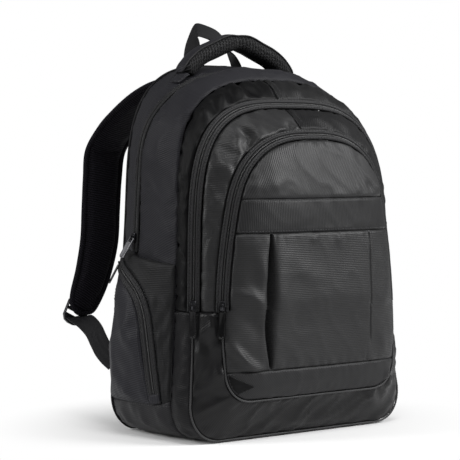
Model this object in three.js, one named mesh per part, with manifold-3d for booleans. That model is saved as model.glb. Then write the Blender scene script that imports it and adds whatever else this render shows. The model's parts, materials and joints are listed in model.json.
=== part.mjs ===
// Laptop backpack made of sewn cloth panels, in millimetres with +Z up.
// The origin is the centre of the flat base, +X is to the right seen from the front and -Y is the front.
// Every panel is lofted between two seams, and every seam is a closed outline of the same family:
// a flat sole, two rounded foot corners, gently tapering sides and an arch.

import * as THREE from "three";
import { mergeVertices } from "three/addons/utils/BufferGeometryUtils.js";
import Module from "manifold-3d";

const wasm = await Module();
wasm.setup();

// Overall form
const bodyHeight = 460;
const bodyWidth = 336;
const bodyDepth = 217;
const backPlane = 92;
const leanHeight = 470;

// Cloth, padding and clearances
const clothWall = 2;
const pocketCloth = 1.6;
const padThickness = 11;
const seamGap = 0.3;
const seatGap = 0.45;
const stepHeight = 1.2;

// Levels of the horizontal seams above the base
const bootTopRear = 42;
const bootTopFront = 50;
const zipFoot = 158;
const sideZipTop = 212;
const sideZipMargin = 19;
const pocketSlope = 18;
const pocketTopRear = sideZipTop + sideZipMargin;
const pocketTopFront = pocketTopRear - pocketSlope;
const hemTop = 86;
const bandHeight = 41;
const domeHeight = 76.9;
const panelSeam = -12;

// Swell of the panels between their seams
const laptopBulge = { side: 2, top: 3 };
const mainBulge = { side: 4, top: 8 };
const midBulge = { side: 4, top: 4 };
const panelBulge = { side: 4, top: 3 };
const frontBulge = 27;
const frontCrownHeight = 190;
const frontForm = { acrossPower: 3.2, acrossRise: 0.6, upPower: 2.6, upRise: 0.7 };
const backBulge = 7;
const backForm = { power: 4, rise: 0.8 };
const spineRecess = 4;
const spineShare = 0.12;
const spineEdge = 0.05;
const pocketBulge = 19.5;
const pocketForm = { acrossLead: 0.6, upRise: 0.5 };

// Zips
const zipWidth = { laptop: 10, mid: 16, front: 16 };
const zipRise = 1.6;
const zipSlot = 0.2;
const sideZipWidth = 17;
const sideZipRise = 1.2;
const sideZipBottom = 40;
const sideZipFront = 0.84;
const sideZipLean = 0.17;
const sideZipRear = 0.05;
const sideZipCurve = 8;

// Pleats of the front pocket, from its middle
const pleatPlace = 78;
const pleatDepth = 7;
const pleatWidth = 11;
const creaseDepth = 2.5;
const creaseWidth = 5;

// Zip sliders and pulls
const slider = { length: 12, width: 6.5, height: 3.2 };
const sliderLift = { laptop: 2, mid: 1.3, front: 1.3, side: 1.2 };
const sliderPlace = { laptop: 17, mid: 7, front: 7 };
const sideSliderShare = 0.985;
const bridge = { length: 6, width: 1.6, post: 1, opening: 2.2, bar: 1.2 };
const pull = { wire: 1.2, inside: 6, arm: 8, width: 8.4, thickness: 2 };
const pullLength = { laptop: 22, mid: 33, front: 33, side: 26 };

// How each pull hangs at rest, in degrees: out from the cloth, and turned in the plane of the slider
const pullRest = {
  laptop: { swing: 22, turn: -14 },
  mid: { swing: 0, turn: 0 },
  front: { swing: 0, turn: 0 },
  side: { swing: 20, turn: 45 },
};

// Handle, loop and straps
const gripWidth = 27;
const gripCoverWidth = 20;
const gripHeight = 20;
const gripReach = 82;
const gripPlace = 47;
const gripSink = 11;
const gripRise = 40;
const gripFoot = bodyHeight - gripSink;
const gripPeak = gripFoot + gripRise;
const gripPower = 1.75;
const webbingWidth = 25;
const webbingThickness = 1.8;
const loopPlace = 73.5;
const loopRise = 49;
const loopPeak = bodyHeight + loopRise;
const strapWidth = 64;
const strapThickness = 13;
const strapReach = 116;
const lock = { width: 30, length: 22, thickness: 4, rail: 4, tab: 8 };
const seatDepth = 32;
const anchorHeight = 84;

// Seams of the body, from the back to the front. depth and the leans are shares of the body's depth,
// foot, waist, shoulder and corner are shares of half its width, and top, sole and arch are shares of
// its height. power is the squareness of the arch, and tilt is how far a zip on the seam faces forward.
const seams = {
  back: { depth: 0, footLean: 0.055, topLean: 0.028, foot: 1, waist: 0.886, shoulder: 0.83,
    top: 0.994, sole: 0, arch: 0.366, corner: 0.26, power: 3.1, tilt: 0 },
  laptop: { depth: 0.222, footLean: 0, topLean: 0.11, foot: 1.05, waist: 0.972, shoulder: 0.937,
    top: 0.977, sole: 0, arch: 0.24, corner: 0.28, power: 2.25, tilt: 0 },
  main: { depth: 0.585, footLean: 0.028, topLean: -0.078, foot: 1.02, waist: 0.96, shoulder: 0.929,
    top: 0.951, sole: 0, arch: 0.338, corner: 0.26, power: 2.8, tilt: 0 },
  mid: { depth: 0.73, footLean: 0.065, topLean: -0.071, foot: 1.01, waist: 0.956, shoulder: 0.932,
    top: 0.884, sole: 0.006, arch: 0.41, corner: 0.25, power: 3.25, tilt: 45 },
  front: { depth: 0.866, footLean: 0.055, topLean: 0.058, foot: 0.815, waist: 0.818, shoulder: 0.753,
    top: 0.802, sole: 0.109, arch: 0.233, corner: 0.238, power: 2.58, tilt: 50 },
};

// The band across the front hangs below the dome, and the dome below the crown of the front zip
const bandTop = seams.front.top * bodyHeight - domeHeight;
const bandBottom = bandTop - bandHeight;

// Where the zones of an outline end along its parameter, which runs from the sole's middle to the crown
const zones = { sole: 0.1, foot: 0.3, side: 0.6 };
const archSteps = 9;
const footPower = 2.2;

const lerp = THREE.MathUtils.lerp;
const up = new THREE.Vector3(0, 0, 1);
const rearward = new THREE.Vector3(0, 1, 0);

// Outlines

function outlineLevels(seam) {
  const sole = seam.sole * bodyHeight;
  const top = seam.top * bodyHeight;
  const corner = seam.corner * bodyWidth / 2;
  return { sole, top, corner, footEnd: sole + corner, archStart: top - seam.arch * bodyHeight };
}

function halfWidth(seam, z) {
  const { footEnd, archStart } = outlineLevels(seam);
  const [foot, waist, shoulder] = [seam.foot, seam.waist, seam.shoulder]
    .map((share) => share * bodyWidth / 2);
  const k = (z - footEnd) / (archStart - footEnd);
  if (k <= 0) return foot;
  if (k >= 1) {
    const slope = (foot - 4 * waist + 3 * shoulder) / (archStart - footEnd);
    const reach = seam.arch * bodyHeight / 2;
    return shoulder + slope * reach * (1 - Math.exp(-(z - archStart) / reach));
  }
  return foot * (1 - k) * (1 - 2 * k) + 4 * waist * k * (1 - k) + shoulder * k * (2 * k - 1);
}

// A point of the right half of a seam, at the parameter s from the sole's middle, 0, to the crown, 1
function seamPoint(seam, s) {
  const { sole, top, corner, footEnd, archStart } = outlineLevels(seam);
  let x = 0;
  let z = sole;
  if (s < zones.sole) {
    x = (halfWidth(seam, 0) - corner) * s / zones.sole;
  } else if (s < zones.foot) {
    const angle = Math.PI / 2 * (s - zones.sole) / (zones.foot - zones.sole);
    x = halfWidth(seam, 0) - corner * (1 - Math.sin(angle) ** (2 / footPower));
    z = sole + corner * (1 - Math.max(Math.cos(angle), 0) ** (2 / footPower));
  } else if (s < zones.side) {
    z = lerp(footEnd, archStart, (s - zones.foot) / (zones.side - zones.foot));
    x = halfWidth(seam, z);
  } else {
    const angle = Math.PI / 2 * (s - zones.side) / (1 - zones.side);
    z = lerp(archStart, top, Math.sin(angle) ** (2 / seam.power));
    x = halfWidth(seam, z) * Math.max(Math.cos(angle), 0) ** (2 / seam.power);
  }
  const rise = 2 * z / leanHeight - 1;
  const lean = rise < 0 ? seam.footLean : seam.topLean;
  const y = backPlane - (seam.depth + lean * rise * rise) * bodyDepth;
  return new THREE.Vector3(x, y, z);
}

// The direction that points out of the body, across the seam in its upright plane
function seamNormal(seam, s) {
  const step = 0.002;
  const ahead = seamPoint(seam, Math.min(s + step, 1));
  const behind = seamPoint(seam, Math.max(s - step, 0));
  if (s <= 0) return new THREE.Vector3(0, 0, -1);
  if (s >= 1) return up.clone();
  return new THREE.Vector3(ahead.z - behind.z, 0, behind.x - ahead.x).normalize();
}

// The parameter at which a rising quantity of the outline reaches a value
function solve(quantity, value) {
  let [low, high] = [0, 1];
  for (let i = 0; i < 40; i += 1) {
    const middle = (low + high) / 2;
    if (quantity(middle) < value) low = middle;
    else high = middle;
  }
  return (low + high) / 2;
}

const heightParameter = (seam, z) => solve((s) => seamPoint(seam, s).z, z);

function stationsOf(seam) {
  const { sole, corner } = outlineLevels(seam);
  const at = (z) => heightParameter(seam, z);
  const share = THREE.MathUtils.clamp(seam.depth / seams.main.depth, 0, 1);
  const boot = Math.max(lerp(bootTopRear, bootTopFront, share), sole + corner / 4);
  const pocket = lerp(pocketTopRear, pocketTopFront, share);
  const between = (a, b, part = 0.5) => lerp(a, b, part);
  const list = [
    ["centre", 0], ["soleMiddle", zones.sole / 2], ["soleEnd", zones.sole],
    ["toe", between(zones.sole, at(boot), 0.25)], ["ball", between(zones.sole, at(boot))],
    ["heel", between(zones.sole, at(boot), 0.75)],
    ["bootLow", at(boot - seamGap / 2)], ["bootHigh", at(boot + seamGap / 2)],
    ["ankle", between(at(boot), at(zipFoot), 0.25)], ["calf", between(at(boot), at(zipFoot))],
    ["shin", between(at(boot), at(zipFoot), 0.75)],
    ["splitLow", at(zipFoot - seamGap / 2)], ["splitHigh", at(zipFoot + seamGap / 2)],
    ["pocketLow", at(pocket - stepHeight / 2)], ["pocketHigh", at(pocket + stepHeight / 2)],
    ["shoulder", between(at(pocket + stepHeight / 2), zones.side)], ["archStart", zones.side],
  ];
  for (let i = 1; i <= archSteps; i += 1) {
    list.push([`arch${i}`, lerp(zones.side, 1, i / archSteps)]);
  }
  return list;
}

const stationNames = stationsOf(seams.back).map(([name]) => name);
const stations = Object.fromEntries(
  Object.entries(seams).map(([name, seam]) => [name, stationsOf(seam).map(([, s]) => s)]),
);
const stationIndex = (name) => stationNames.indexOf(name);
const crown = stationNames.length - 1;

// Edges of the panels along a seam. side is 1 for the panel behind the seam and -1 for the one before it.

function spreadDirection(seam, s) {
  const tilt = THREE.MathUtils.degToRad(seam.tilt);
  return seamNormal(seam, s).multiplyScalar(Math.sin(tilt)).addScaledVector(rearward, Math.cos(tilt));
}

function zipNormal(seam, s) {
  const tilt = THREE.MathUtils.degToRad(seam.tilt);
  return seamNormal(seam, s).multiplyScalar(Math.cos(tilt)).addScaledVector(rearward, -Math.sin(tilt));
}

function wallInset(name, s, wall = clothWall) {
  const seam = seams[name];
  const inset = seamNormal(seam, s).multiplyScalar(-wall * Math.cos(THREE.MathUtils.degToRad(seam.tilt)));
  const turn = name === "back" ? -1 : Math.sin(THREE.MathUtils.degToRad(seam.tilt));
  return inset.addScaledVector(rearward, turn * wall);
}

function zipStart(name) {
  return stationIndex(name === "laptop" ? "pocketHigh" : "splitHigh");
}

// A zip ends level, so its lowest station spreads without rising or falling
function edgePoint(name, index, side, reach) {
  const seam = seams[name];
  const s = stations[name][index];
  const spread = spreadDirection(seam, s);
  if (zipWidth[name] && index === zipStart(name)) spread.z = 0;
  return seamPoint(seam, s).addScaledVector(spread, side * reach);
}

function panelEdge(name, index, side) {
  const open = zipWidth[name] && index >= zipStart(name);
  return edgePoint(name, index, side, open ? zipWidth[name] / 2 : seamGap / 2);
}

// Spans of stations round the body: over the top from both feet, under the sole, or all the way

function span(kind, limit = 0) {
  const start = typeof limit === "string" ? stationIndex(limit) : limit;
  const steps = [];
  if (kind === "under") {
    for (let i = start; i > 0; i -= 1) steps.push({ index: i, hand: -1 });
    for (let i = 0; i <= start; i += 1) steps.push({ index: i, hand: 1 });
    return steps;
  }
  for (let i = start; i <= crown; i += 1) steps.push({ index: i, hand: 1 });
  const last = kind === "all" ? 1 : start;
  for (let i = crown - 1; i >= last; i -= 1) steps.push({ index: i, hand: -1 });
  return steps;
}

const handed = (point, hand) => new THREE.Vector3(point.x * hand, point.y, point.z);

// Meshes

function closedGeometry(points, faces) {
  const geometry = new THREE.BufferGeometry();
  const coordinates = points.flatMap((point) => point.toArray());
  geometry.setAttribute("position", new THREE.Float32BufferAttribute(coordinates, 3));
  geometry.setIndex(faces.flat());
  return tidyGeometry(geometry);
}

// Merges equal vertices, drops faces that collapsed and turns the faces out
function tidyGeometry(source) {
  source.deleteAttribute("normal");
  source.deleteAttribute("uv");
  const geometry = mergeVertices(source, 1e-3);
  const index = Array.from(geometry.index.array);
  const faces = [];
  for (let i = 0; i < index.length; i += 3) {
    const [a, b, c] = index.slice(i, i + 3);
    if (a !== b && b !== c && c !== a) faces.push([a, b, c]);
  }
  const position = geometry.attributes.position;
  const corner = (i) => new THREE.Vector3().fromBufferAttribute(position, i);
  const volume = faces.reduce((sum, [a, b, c]) => sum + corner(a).dot(corner(b).cross(corner(c))), 0);
  const outward = volume < 0 ? faces.map(([a, b, c]) => [a, c, b]) : faces;
  geometry.setIndex(outward.flat());
  geometry.computeVertexNormals();
  return geometry;
}

// A wall of cloth between an outer and an inner grid of points, a row for each step across it
function wallGeometry(outer, inner, closed = false) {
  const rows = outer.length;
  const columns = outer[0].length;
  const at = (r, c, layer) => (layer * rows + r) * columns + (c % columns);
  const faces = [];
  const quad = (a, b, c, d) => faces.push([a, b, c], [a, c, d]);
  const wraps = closed ? columns : columns - 1;
  for (let c = 0; c < wraps; c += 1) {
    for (let r = 0; r < rows - 1; r += 1) {
      quad(at(r, c, 0), at(r, c + 1, 0), at(r + 1, c + 1, 0), at(r + 1, c, 0));
      quad(at(r, c, 1), at(r + 1, c, 1), at(r + 1, c + 1, 1), at(r, c + 1, 1));
    }
    quad(at(0, c, 0), at(0, c, 1), at(0, c + 1, 1), at(0, c + 1, 0));
    quad(at(rows - 1, c, 0), at(rows - 1, c + 1, 0), at(rows - 1, c + 1, 1), at(rows - 1, c, 1));
  }
  if (!closed) {
    for (let r = 0; r < rows - 1; r += 1) {
      quad(at(r, 0, 0), at(r + 1, 0, 0), at(r + 1, 0, 1), at(r, 0, 1));
      quad(at(r, wraps, 0), at(r, wraps, 1), at(r + 1, wraps, 1), at(r + 1, wraps, 0));
    }
  }
  return closedGeometry([...outer.flat(), ...inner.flat()], faces);
}

// A solid lofted through closed convex sections, with flat ends
function loftGeometry(sections) {
  const around = sections[0].length;
  const at = (i, j) => i * around + (j % around);
  const faces = [];
  for (let i = 0; i < sections.length - 1; i += 1) {
    for (let j = 0; j < around; j += 1) {
      faces.push([at(i, j), at(i, j + 1), at(i + 1, j + 1)], [at(i, j), at(i + 1, j + 1), at(i + 1, j)]);
    }
  }
  for (let j = 1; j < around - 1; j += 1) {
    faces.push([at(0, 0), at(0, j + 1), at(0, j)]);
    faces.push([at(sections.length - 1, 0), at(sections.length - 1, j), at(sections.length - 1, j + 1)]);
  }
  return closedGeometry(sections.flat(), faces);
}

function toSolid(source) {
  const geometry = tidyGeometry(source.clone());
  return new wasm.Manifold(new wasm.Mesh({
    numProp: 3,
    vertProperties: new Float32Array(geometry.attributes.position.array),
    triVerts: new Uint32Array(geometry.index.array),
  }));
}

function fromSolid(solid) {
  const mesh = solid.getMesh();
  const geometry = new THREE.BufferGeometry();
  geometry.setAttribute("position", new THREE.Float32BufferAttribute(Array.from(mesh.vertProperties), 3));
  geometry.setIndex(Array.from(mesh.triVerts));
  return tidyGeometry(geometry);
}

const trimmed = (geometry, cutter) => fromSolid(toSolid(geometry).intersect(toSolid(cutter)));
const joined = (geometries) => fromSolid(geometries.map(toSolid).reduce((sum, solid) => sum.add(solid)));
const drilled = (geometry, cutter) => fromSolid(toSolid(geometry).subtract(toSolid(cutter)));

function mirrored(source) {
  const geometry = source.clone().applyMatrix4(new THREE.Matrix4().makeScale(-1, 1, 1));
  return tidyGeometry(geometry);
}

// Everything to one side of the upright seam in the top panels, with half the seam's gap left free
function sideOf(hand) {
  const size = 4 * bodyHeight;
  return new THREE.BoxGeometry(size, size, size)
    .translate(panelSeam + hand * (size / 2 + seamGap / 2), 0, 0);
}

// Panels between two seams

function bandGrids(rear, fore, steps, { bulge, rows, rearSide = -1, foreSide = 1 }) {
  const outer = [];
  const inner = [];
  for (let r = 0; r <= rows; r += 1) {
    const t = r / rows;
    const swell = 4 * t * (1 - t);
    outer.push([]);
    inner.push([]);
    for (const { index, hand } of steps) {
      const start = panelEdge(rear, index, rearSide);
      const end = panelEdge(fore, index, foreSide);
      const normal = seamNormal(seams[rear], stations[rear][index])
        .lerp(seamNormal(seams[fore], stations[fore][index]), t).normalize();
      const rise = bulge.side * normal.x ** 2 + bulge.top * Math.max(normal.z, 0) ** 2;
      const point = start.lerp(end, t).addScaledVector(normal, rise * swell);
      const inset = wallInset(rear, stations[rear][index]).lerp(wallInset(fore, stations[fore][index]), t);
      outer[r].push(handed(point, hand));
      inner[r].push(handed(point.clone().add(inset), hand));
    }
  }
  return { outer, inner };
}

function bandGeometry(rear, fore, kind, limit, options) {
  const steps = span(kind, limit);
  const { outer, inner } = bandGrids(rear, fore, steps, options);
  return wallGeometry(outer, inner, kind === "all");
}

// The boot runs under the whole body, from the back seam to the main seam, and is one cloth
function bootGeometry() {
  const steps = span("under", "bootLow");
  const rear = bandGrids("back", "laptop", steps, { bulge: laptopBulge, rows: 2 });
  const fore = bandGrids("laptop", "main", steps, { bulge: mainBulge, rows: 2 });
  const outer = [...rear.outer.slice(0, -1), ...fore.outer];
  const inner = [...rear.inner.slice(0, -1), ...fore.inner];
  return wallGeometry(outer, inner);
}

// A zip: two raised flaps with the slot of the teeth between them
function zipGeometry(name) {
  const seam = seams[name];
  const profile = [
    { across: -1, rise: 0 }, { across: -0.62, rise: zipRise }, { across: -0.34, rise: zipSlot },
    { across: 0.34, rise: zipSlot }, { across: 0.62, rise: zipRise }, { across: 1, rise: 0 },
  ];
  const steps = span("over", zipStart(name));
  const reach = zipWidth[name] / 2 - seamGap;
  const point = (index, { across, rise }) => {
    const s = stations[name][index];
    return edgePoint(name, index, across, reach).addScaledVector(zipNormal(seam, s), rise);
  };
  const outer = profile.map((place) => steps.map(({ index, hand }) => handed(point(index, place), hand)));
  for (const row of outer) {
    row[0].lerp(row[1], seamGap / row[0].distanceTo(row[1]));
    row[row.length - 1].lerp(row[row.length - 2], seamGap / row.at(-1).distanceTo(row.at(-2)));
  }
  const inner = outer.map((row) => row.map((vertex, column) => {
    const { index, hand } = steps[column];
    return vertex.clone().add(handed(wallInset(name, stations[name][index]), hand));
  }));
  return wallGeometry(outer, inner);
}

// Sheets that close an outline, built in level rows whose ends lie on the edge of the seam

function edgeLine(name, side) {
  return stations[name].map((s, index) => ({
    edge: panelEdge(name, index, side),
    inset: wallInset(name, s),
  }));
}

function edgeAtHeight(line, z) {
  const from = line.findIndex(({ edge }) => edge.z > line[0].edge.z + 1e-6) - 1;
  if (z <= line[from].edge.z) return line[from];
  for (let i = from; i < line.length - 1; i += 1) {
    const [a, b] = [line[i], line[i + 1]];
    if (z <= b.edge.z) {
      const k = (z - a.edge.z) / (b.edge.z - a.edge.z);
      return { edge: a.edge.clone().lerp(b.edge, k), inset: a.inset.clone().lerp(b.inset, k) };
    }
  }
  return line.at(-1);
}

function levelsBetween(line, low, high) {
  const levels = line.map(({ edge }) => edge.z).filter((z) => z > low + 1 && z < high - 1);
  return [low, ...new Set(levels), high];
}

// relief gives how far the sheet stands out of the plane of its edge, and depth how far back its other
// side lies, both for an x, a z and the half width of the sheet at that height
function sheetGeometry(line, low, high, columns, relief, depth) {
  const outer = [];
  const inner = [];
  for (const z of levelsBetween(line, low, high)) {
    const { edge, inset } = edgeAtHeight(line, z);
    const half = Math.max(edge.x, 1e-6);
    const row = columns(edge.x);
    outer.push(row.map((x) => new THREE.Vector3(x, edge.y + relief(x, z, half), z)));
    inner.push(outer.at(-1).map((point, i) => {
      const onRim = i === 0 || i === row.length - 1 || edge.x < 1e-3;
      const back = onRim ? inset.y : depth(point.x, z, half);
      return point.clone().add(new THREE.Vector3(inset.x * point.x / half, back, inset.z));
    }));
  }
  return wallGeometry(outer, inner);
}

const shareColumns = (shares) => (half) => shares.map((share) => share * half);
const plump = (share, power, rise) => Math.max(1 - Math.abs(share) ** power, 0) ** rise;

function frontRelief(line) {
  const sole = line[0].edge.z;
  const top = line.at(-1).edge.z;
  return (x, z, half) => {
    const rise = z > frontCrownHeight
      ? (z - frontCrownHeight) / (top - frontCrownHeight)
      : (frontCrownHeight - z) / (frontCrownHeight - sole);
    return -frontBulge * plump(x / half, frontForm.acrossPower, frontForm.acrossRise)
      * plump(rise, frontForm.upPower, frontForm.upRise);
  };
}

// The folds sewn into the front pocket: an open pleat on the left and a thin crease on the right
const pleats = [
  { place: -pleatPlace, depth: pleatDepth, width: pleatWidth },
  { place: pleatPlace, depth: creaseDepth, width: creaseWidth },
];

function pleatedColumns(half) {
  const folds = pleats.flatMap(({ place, width }) => [place - width / 2, place, place + width / 2]);
  const shares = [-1, -0.93, -0.78, -0.3, 0, 0.3, 0.78, 0.93, 1];
  return [...shares.map((share) => share * half), ...folds].sort((a, b) => a - b);
}

function pleatDip(x) {
  return pleats.reduce((sum, { place, depth, width }) => {
    return sum + depth * Math.max(0, 1 - Math.abs(x - place) / (width / 2));
  }, 0);
}

const frontLine = edgeLine("front", -1);
const frontSwell = frontRelief(frontLine);
const plainColumns = shareColumns([-1, -0.93, -0.75, -0.4, 0, 0.4, 0.75, 0.93, 1]);

function frontSheet(low, high, columns = plainColumns, dip = () => 0) {
  const relief = (x, z, half) => frontSwell(x, z, half) + dip(x);
  return sheetGeometry(frontLine, low, high, columns, relief, () => clothWall);
}

// The cloth behind the front pocket, which is the middle of the mid compartment's front
function pocketBackGeometry() {
  const line = edgeLine("front", -1).map(({ edge, inset }) => {
    const shifted = edge.clone().addScaledVector(inset, (clothWall + 2 * seamGap) / clothWall);
    return { edge: shifted, inset };
  });
  const [sole, top] = [line[0].edge.z, line.at(-1).edge.z];
  return sheetGeometry(line, sole, top, shareColumns([-1, -0.5, 0, 0.5, 1]), () => 0, () => clothWall);
}

const padShares = [spineShare, spineShare + spineEdge, 0.6, 0.9, 1];
const padColumns = shareColumns([...padShares.map((share) => -share).reverse(), ...padShares]);

function backPanelLine() {
  return stations.back.map((s, index) => {
    const edge = edgePoint("back", index, 0, 0).addScaledVector(seamNormal(seams.back, s), -seamGap / 2);
    const inset = seamNormal(seams.back, s).multiplyScalar(-clothWall)
      .addScaledVector(rearward, -clothWall);
    return { edge, inset };
  });
}

function padForm(x, z, half) {
  const { sole, top } = outlineLevels(seams.back);
  const rise = THREE.MathUtils.clamp(2 * (z - sole) / (top - sole) - 1, -1, 1);
  return plump(x / half, backForm.power, backForm.rise) * plump(rise, backForm.power, backForm.rise);
}

function backRelief(x, z, half) {
  const spine = Math.abs(x) < (spineShare + spineEdge / 2) * half ? spineRecess : 0;
  return (backBulge - spine) * padForm(x, z, half);
}

function backPanelGeometry() {
  const line = backPanelLine();
  return sheetGeometry(line, line[0].edge.z, line.at(-1).edge.z, padColumns, backRelief,
    (x, z, half) => -lerp(clothWall, padThickness, padForm(x, z, half)));
}

const hump = (share) => Math.max(Math.sin(Math.PI * THREE.MathUtils.clamp(share, 0, 1)), 0);

// Side pockets: a bellows shell over the gussets, cut along its own curved zip

function pocketGrids(lift, thickness) {
  const first = stationIndex("bootHigh");
  const last = stationIndex("pocketLow");
  const steps = [];
  for (let index = first; index <= last; index += 1) steps.push({ index, hand: 1 });
  const rear = bandGrids("back", "laptop", steps, { bulge: laptopBulge, rows: 2, foreSide: 0 });
  const fore = bandGrids("laptop", "main", steps, { bulge: mainBulge, rows: 4, rearSide: 0 });
  const base = [...rear.outer.slice(0, -1), ...fore.outer];
  const shift = (distance) => base.map((row, r) => row.map((point, c) => {
    const across = r / (base.length - 1);
    const along = (point.z - row[0].z) / (row.at(-1).z - row[0].z);
    const normal = seamNormal(seams.laptop, stations.laptop[steps[c].index]);
    const form = hump(across ** pocketForm.acrossLead) * hump(along) ** pocketForm.upRise;
    return point.clone().addScaledVector(normal, distance + pocketBulge * form);
  }));
  return { outer: shift(lift + thickness), inner: shift(lift) };
}

// A point of the side zip's line on the side of the bag, at the share of its height
function sideZipPoint(share) {
  const z = lerp(sideZipBottom, sideZipTop, share);
  const hook = sideZipFront - sideZipLean - sideZipRear;
  const forward = sideZipFront - sideZipLean * share - hook * share ** sideZipCurve;
  const back = seamPoint(seams.back, heightParameter(seams.back, z)).y;
  const main = seamPoint(seams.main, heightParameter(seams.main, z)).y;
  return new THREE.Vector2(lerp(back, main, forward), z);
}

const sideZipShares = [-0.1, 0, 0.25, 0.45, 0.6, 0.72, 0.82, 0.9, 0.96, 1, 1.03];

// The side zip's line moved sideways, forward for a positive distance
function sideZipEdge(distance) {
  return sideZipShares.map((share) => {
    const point = sideZipPoint(share);
    const tangent = sideZipPoint(share + 0.01).sub(sideZipPoint(share - 0.01)).normalize();
    return point.add(new THREE.Vector2(-tangent.y, tangent.x).multiplyScalar(distance));
  });
}

// A slab as thick as the whole bag, cut to an outline drawn in y and z
function sideBlade(points) {
  const shape = new THREE.Shape(points);
  const geometry = new THREE.ExtrudeGeometry(shape, { depth: bodyWidth, bevelEnabled: false });
  const basis = new THREE.Matrix4().makeBasis(rearward, up, new THREE.Vector3(1, 0, 0));
  return geometry.applyMatrix4(basis);
}

function sidePocketParts() {
  const far = 2 * bodyDepth;
  const half = sideZipWidth / 2;
  const corners = (list) => list.map(([y, z]) => new THREE.Vector2(y, z));
  const rearEdge = sideZipEdge(-half - seamGap);
  const foreEdge = sideZipEdge(half + seamGap);
  const rearBlade = sideBlade([...rearEdge, ...corners([[far, rearEdge.at(-1).y], [far, -far]])]);
  const foreBlade = sideBlade([...foreEdge, ...corners([[far, foreEdge.at(-1).y],
    [far, far], [-far, far], [-far, -far]])]);
  const zipBlade = sideBlade([...sideZipEdge(-half), ...sideZipEdge(half).reverse()]);
  const cloth = pocketGrids(seatGap, pocketCloth);
  const zipCloth = pocketGrids(seatGap, pocketCloth + sideZipRise);
  return {
    rear: trimmed(wallGeometry(cloth.outer, cloth.inner), rearBlade),
    fore: trimmed(wallGeometry(cloth.outer, cloth.inner), foreBlade),
    zip: trimmed(wallGeometry(zipCloth.outer, zipCloth.inner), zipBlade),
  };
}

// Sliders and pulls, drawn with the zip's way down along +Y, across it along +X and out of it along +Z

function sliderGeometry() {
  const { length, width, height } = slider;
  const shape = new THREE.Shape([
    [-0.5, -0.5], [0.5, -0.5], [0.5, 0.15], [0.33, 0.5], [-0.33, 0.5], [-0.5, 0.15],
  ].map(([x, y]) => new THREE.Vector2(x * width, y * length)));
  const body = new THREE.ExtrudeGeometry(shape, { depth: height, bevelEnabled: false });
  const root = height / 4;
  const rise = bridge.opening + bridge.bar;
  const arch = new THREE.BoxGeometry(bridge.width, bridge.length, rise + root)
    .translate(0, 0, height + (rise - root) / 2);
  const hole = new THREE.BoxGeometry(bridge.width * 2, bridge.length - 2 * bridge.post, bridge.opening)
    .translate(0, 0, height + bridge.opening / 2);
  return drilled(joined([body, arch]), hole);
}

// The pull turns about its wire, which lies on the origin of its drawing
function pullGeometry(length) {
  const { wire, inside, arm, width, thickness } = pull;
  const bail = new THREE.BoxGeometry(inside + 2 * wire, wire, wire);
  const arms = [-1, 1].map((hand) => new THREE.BoxGeometry(wire, arm, wire)
    .translate(hand * (inside + wire) / 2, (arm - wire) / 2, 0));
  const tab = new THREE.Shape([
    [-0.38, 0], [0.38, 0], [0.5, 0.05], [0.5, 0.9], [0.28, 1], [-0.28, 1], [-0.5, 0.9], [-0.5, 0.05],
  ].map(([x, y]) => new THREE.Vector2(x * width, y * length)));
  const plate = new THREE.ExtrudeGeometry(tab, { depth: thickness, bevelEnabled: false })
    .translate(0, arm - 2 * wire, -thickness / 2);
  return joined([bail, ...arms, plate]);
}

// The frame of a pull in the bridge of its slider, turned in the slider's plane and swung out of it
function pullFrame(frame, { swing, turn }) {
  const rest = new THREE.Matrix4().makeTranslation(0, 0, slider.height + bridge.opening / 2)
    .multiply(new THREE.Matrix4().makeRotationZ(THREE.MathUtils.degToRad(turn)))
    .multiply(new THREE.Matrix4().makeRotationX(THREE.MathUtils.degToRad(swing)));
  return frame.clone().multiply(rest);
}

const basisAt = (place, x, y, z) => new THREE.Matrix4().makeBasis(x, y, z).setPosition(place);

// A frame on a zip: down along +Y and out of the cloth along +Z
function frameOn(place, downward, outward) {
  const out = outward.clone().normalize();
  const down = downward.clone().addScaledVector(out, -downward.dot(out)).normalize();
  return basisAt(place, new THREE.Vector3().crossVectors(down, out), down, out);
}

// Where the slider of a zip round the body sits, up from the zip's foot
function bodySliderFrame(name) {
  const seam = seams[name];
  const index = zipStart(name);
  const foot = edgePoint(name, index, 0, 0);
  const next = edgePoint(name, index + 1, 0, 0);
  const down = foot.clone().sub(next).normalize();
  const out = zipNormal(seam, stations[name][index]);
  const place = foot.clone().addScaledVector(down, -sliderPlace[name]);
  const frame = frameOn(handed(place, -1), handed(down, -1), handed(out, -1));
  return frame.multiply(new THREE.Matrix4().makeTranslation(0, 0, sliderLift[name]));
}

// The side zip's slider sits near its top on the outer face of the pocket
function sideSliderFrame() {
  const step = slider.length / (sideZipTop - sideZipBottom) / 8;
  const [low, high] = [sideZipPoint(sideSliderShare - step), sideZipPoint(sideSliderShare + step)];
  const face = (point) => pocketFace(point.x, point.y);
  const centre = sideZipPoint(sideSliderShare);
  const place = face(centre);
  const down = face(low).sub(face(high));
  const square = low.clone().sub(high).rotateAround(new THREE.Vector2(), Math.PI / 2);
  const level = face(square.setLength(slider.width / 3).add(centre)).sub(place);
  const out = new THREE.Vector3().crossVectors(down, level);
  if (out.x < 0) out.negate();
  const frame = frameOn(place, down, out);
  return frame.multiply(new THREE.Matrix4().makeTranslation(0, 0, sliderLift.side));
}

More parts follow.
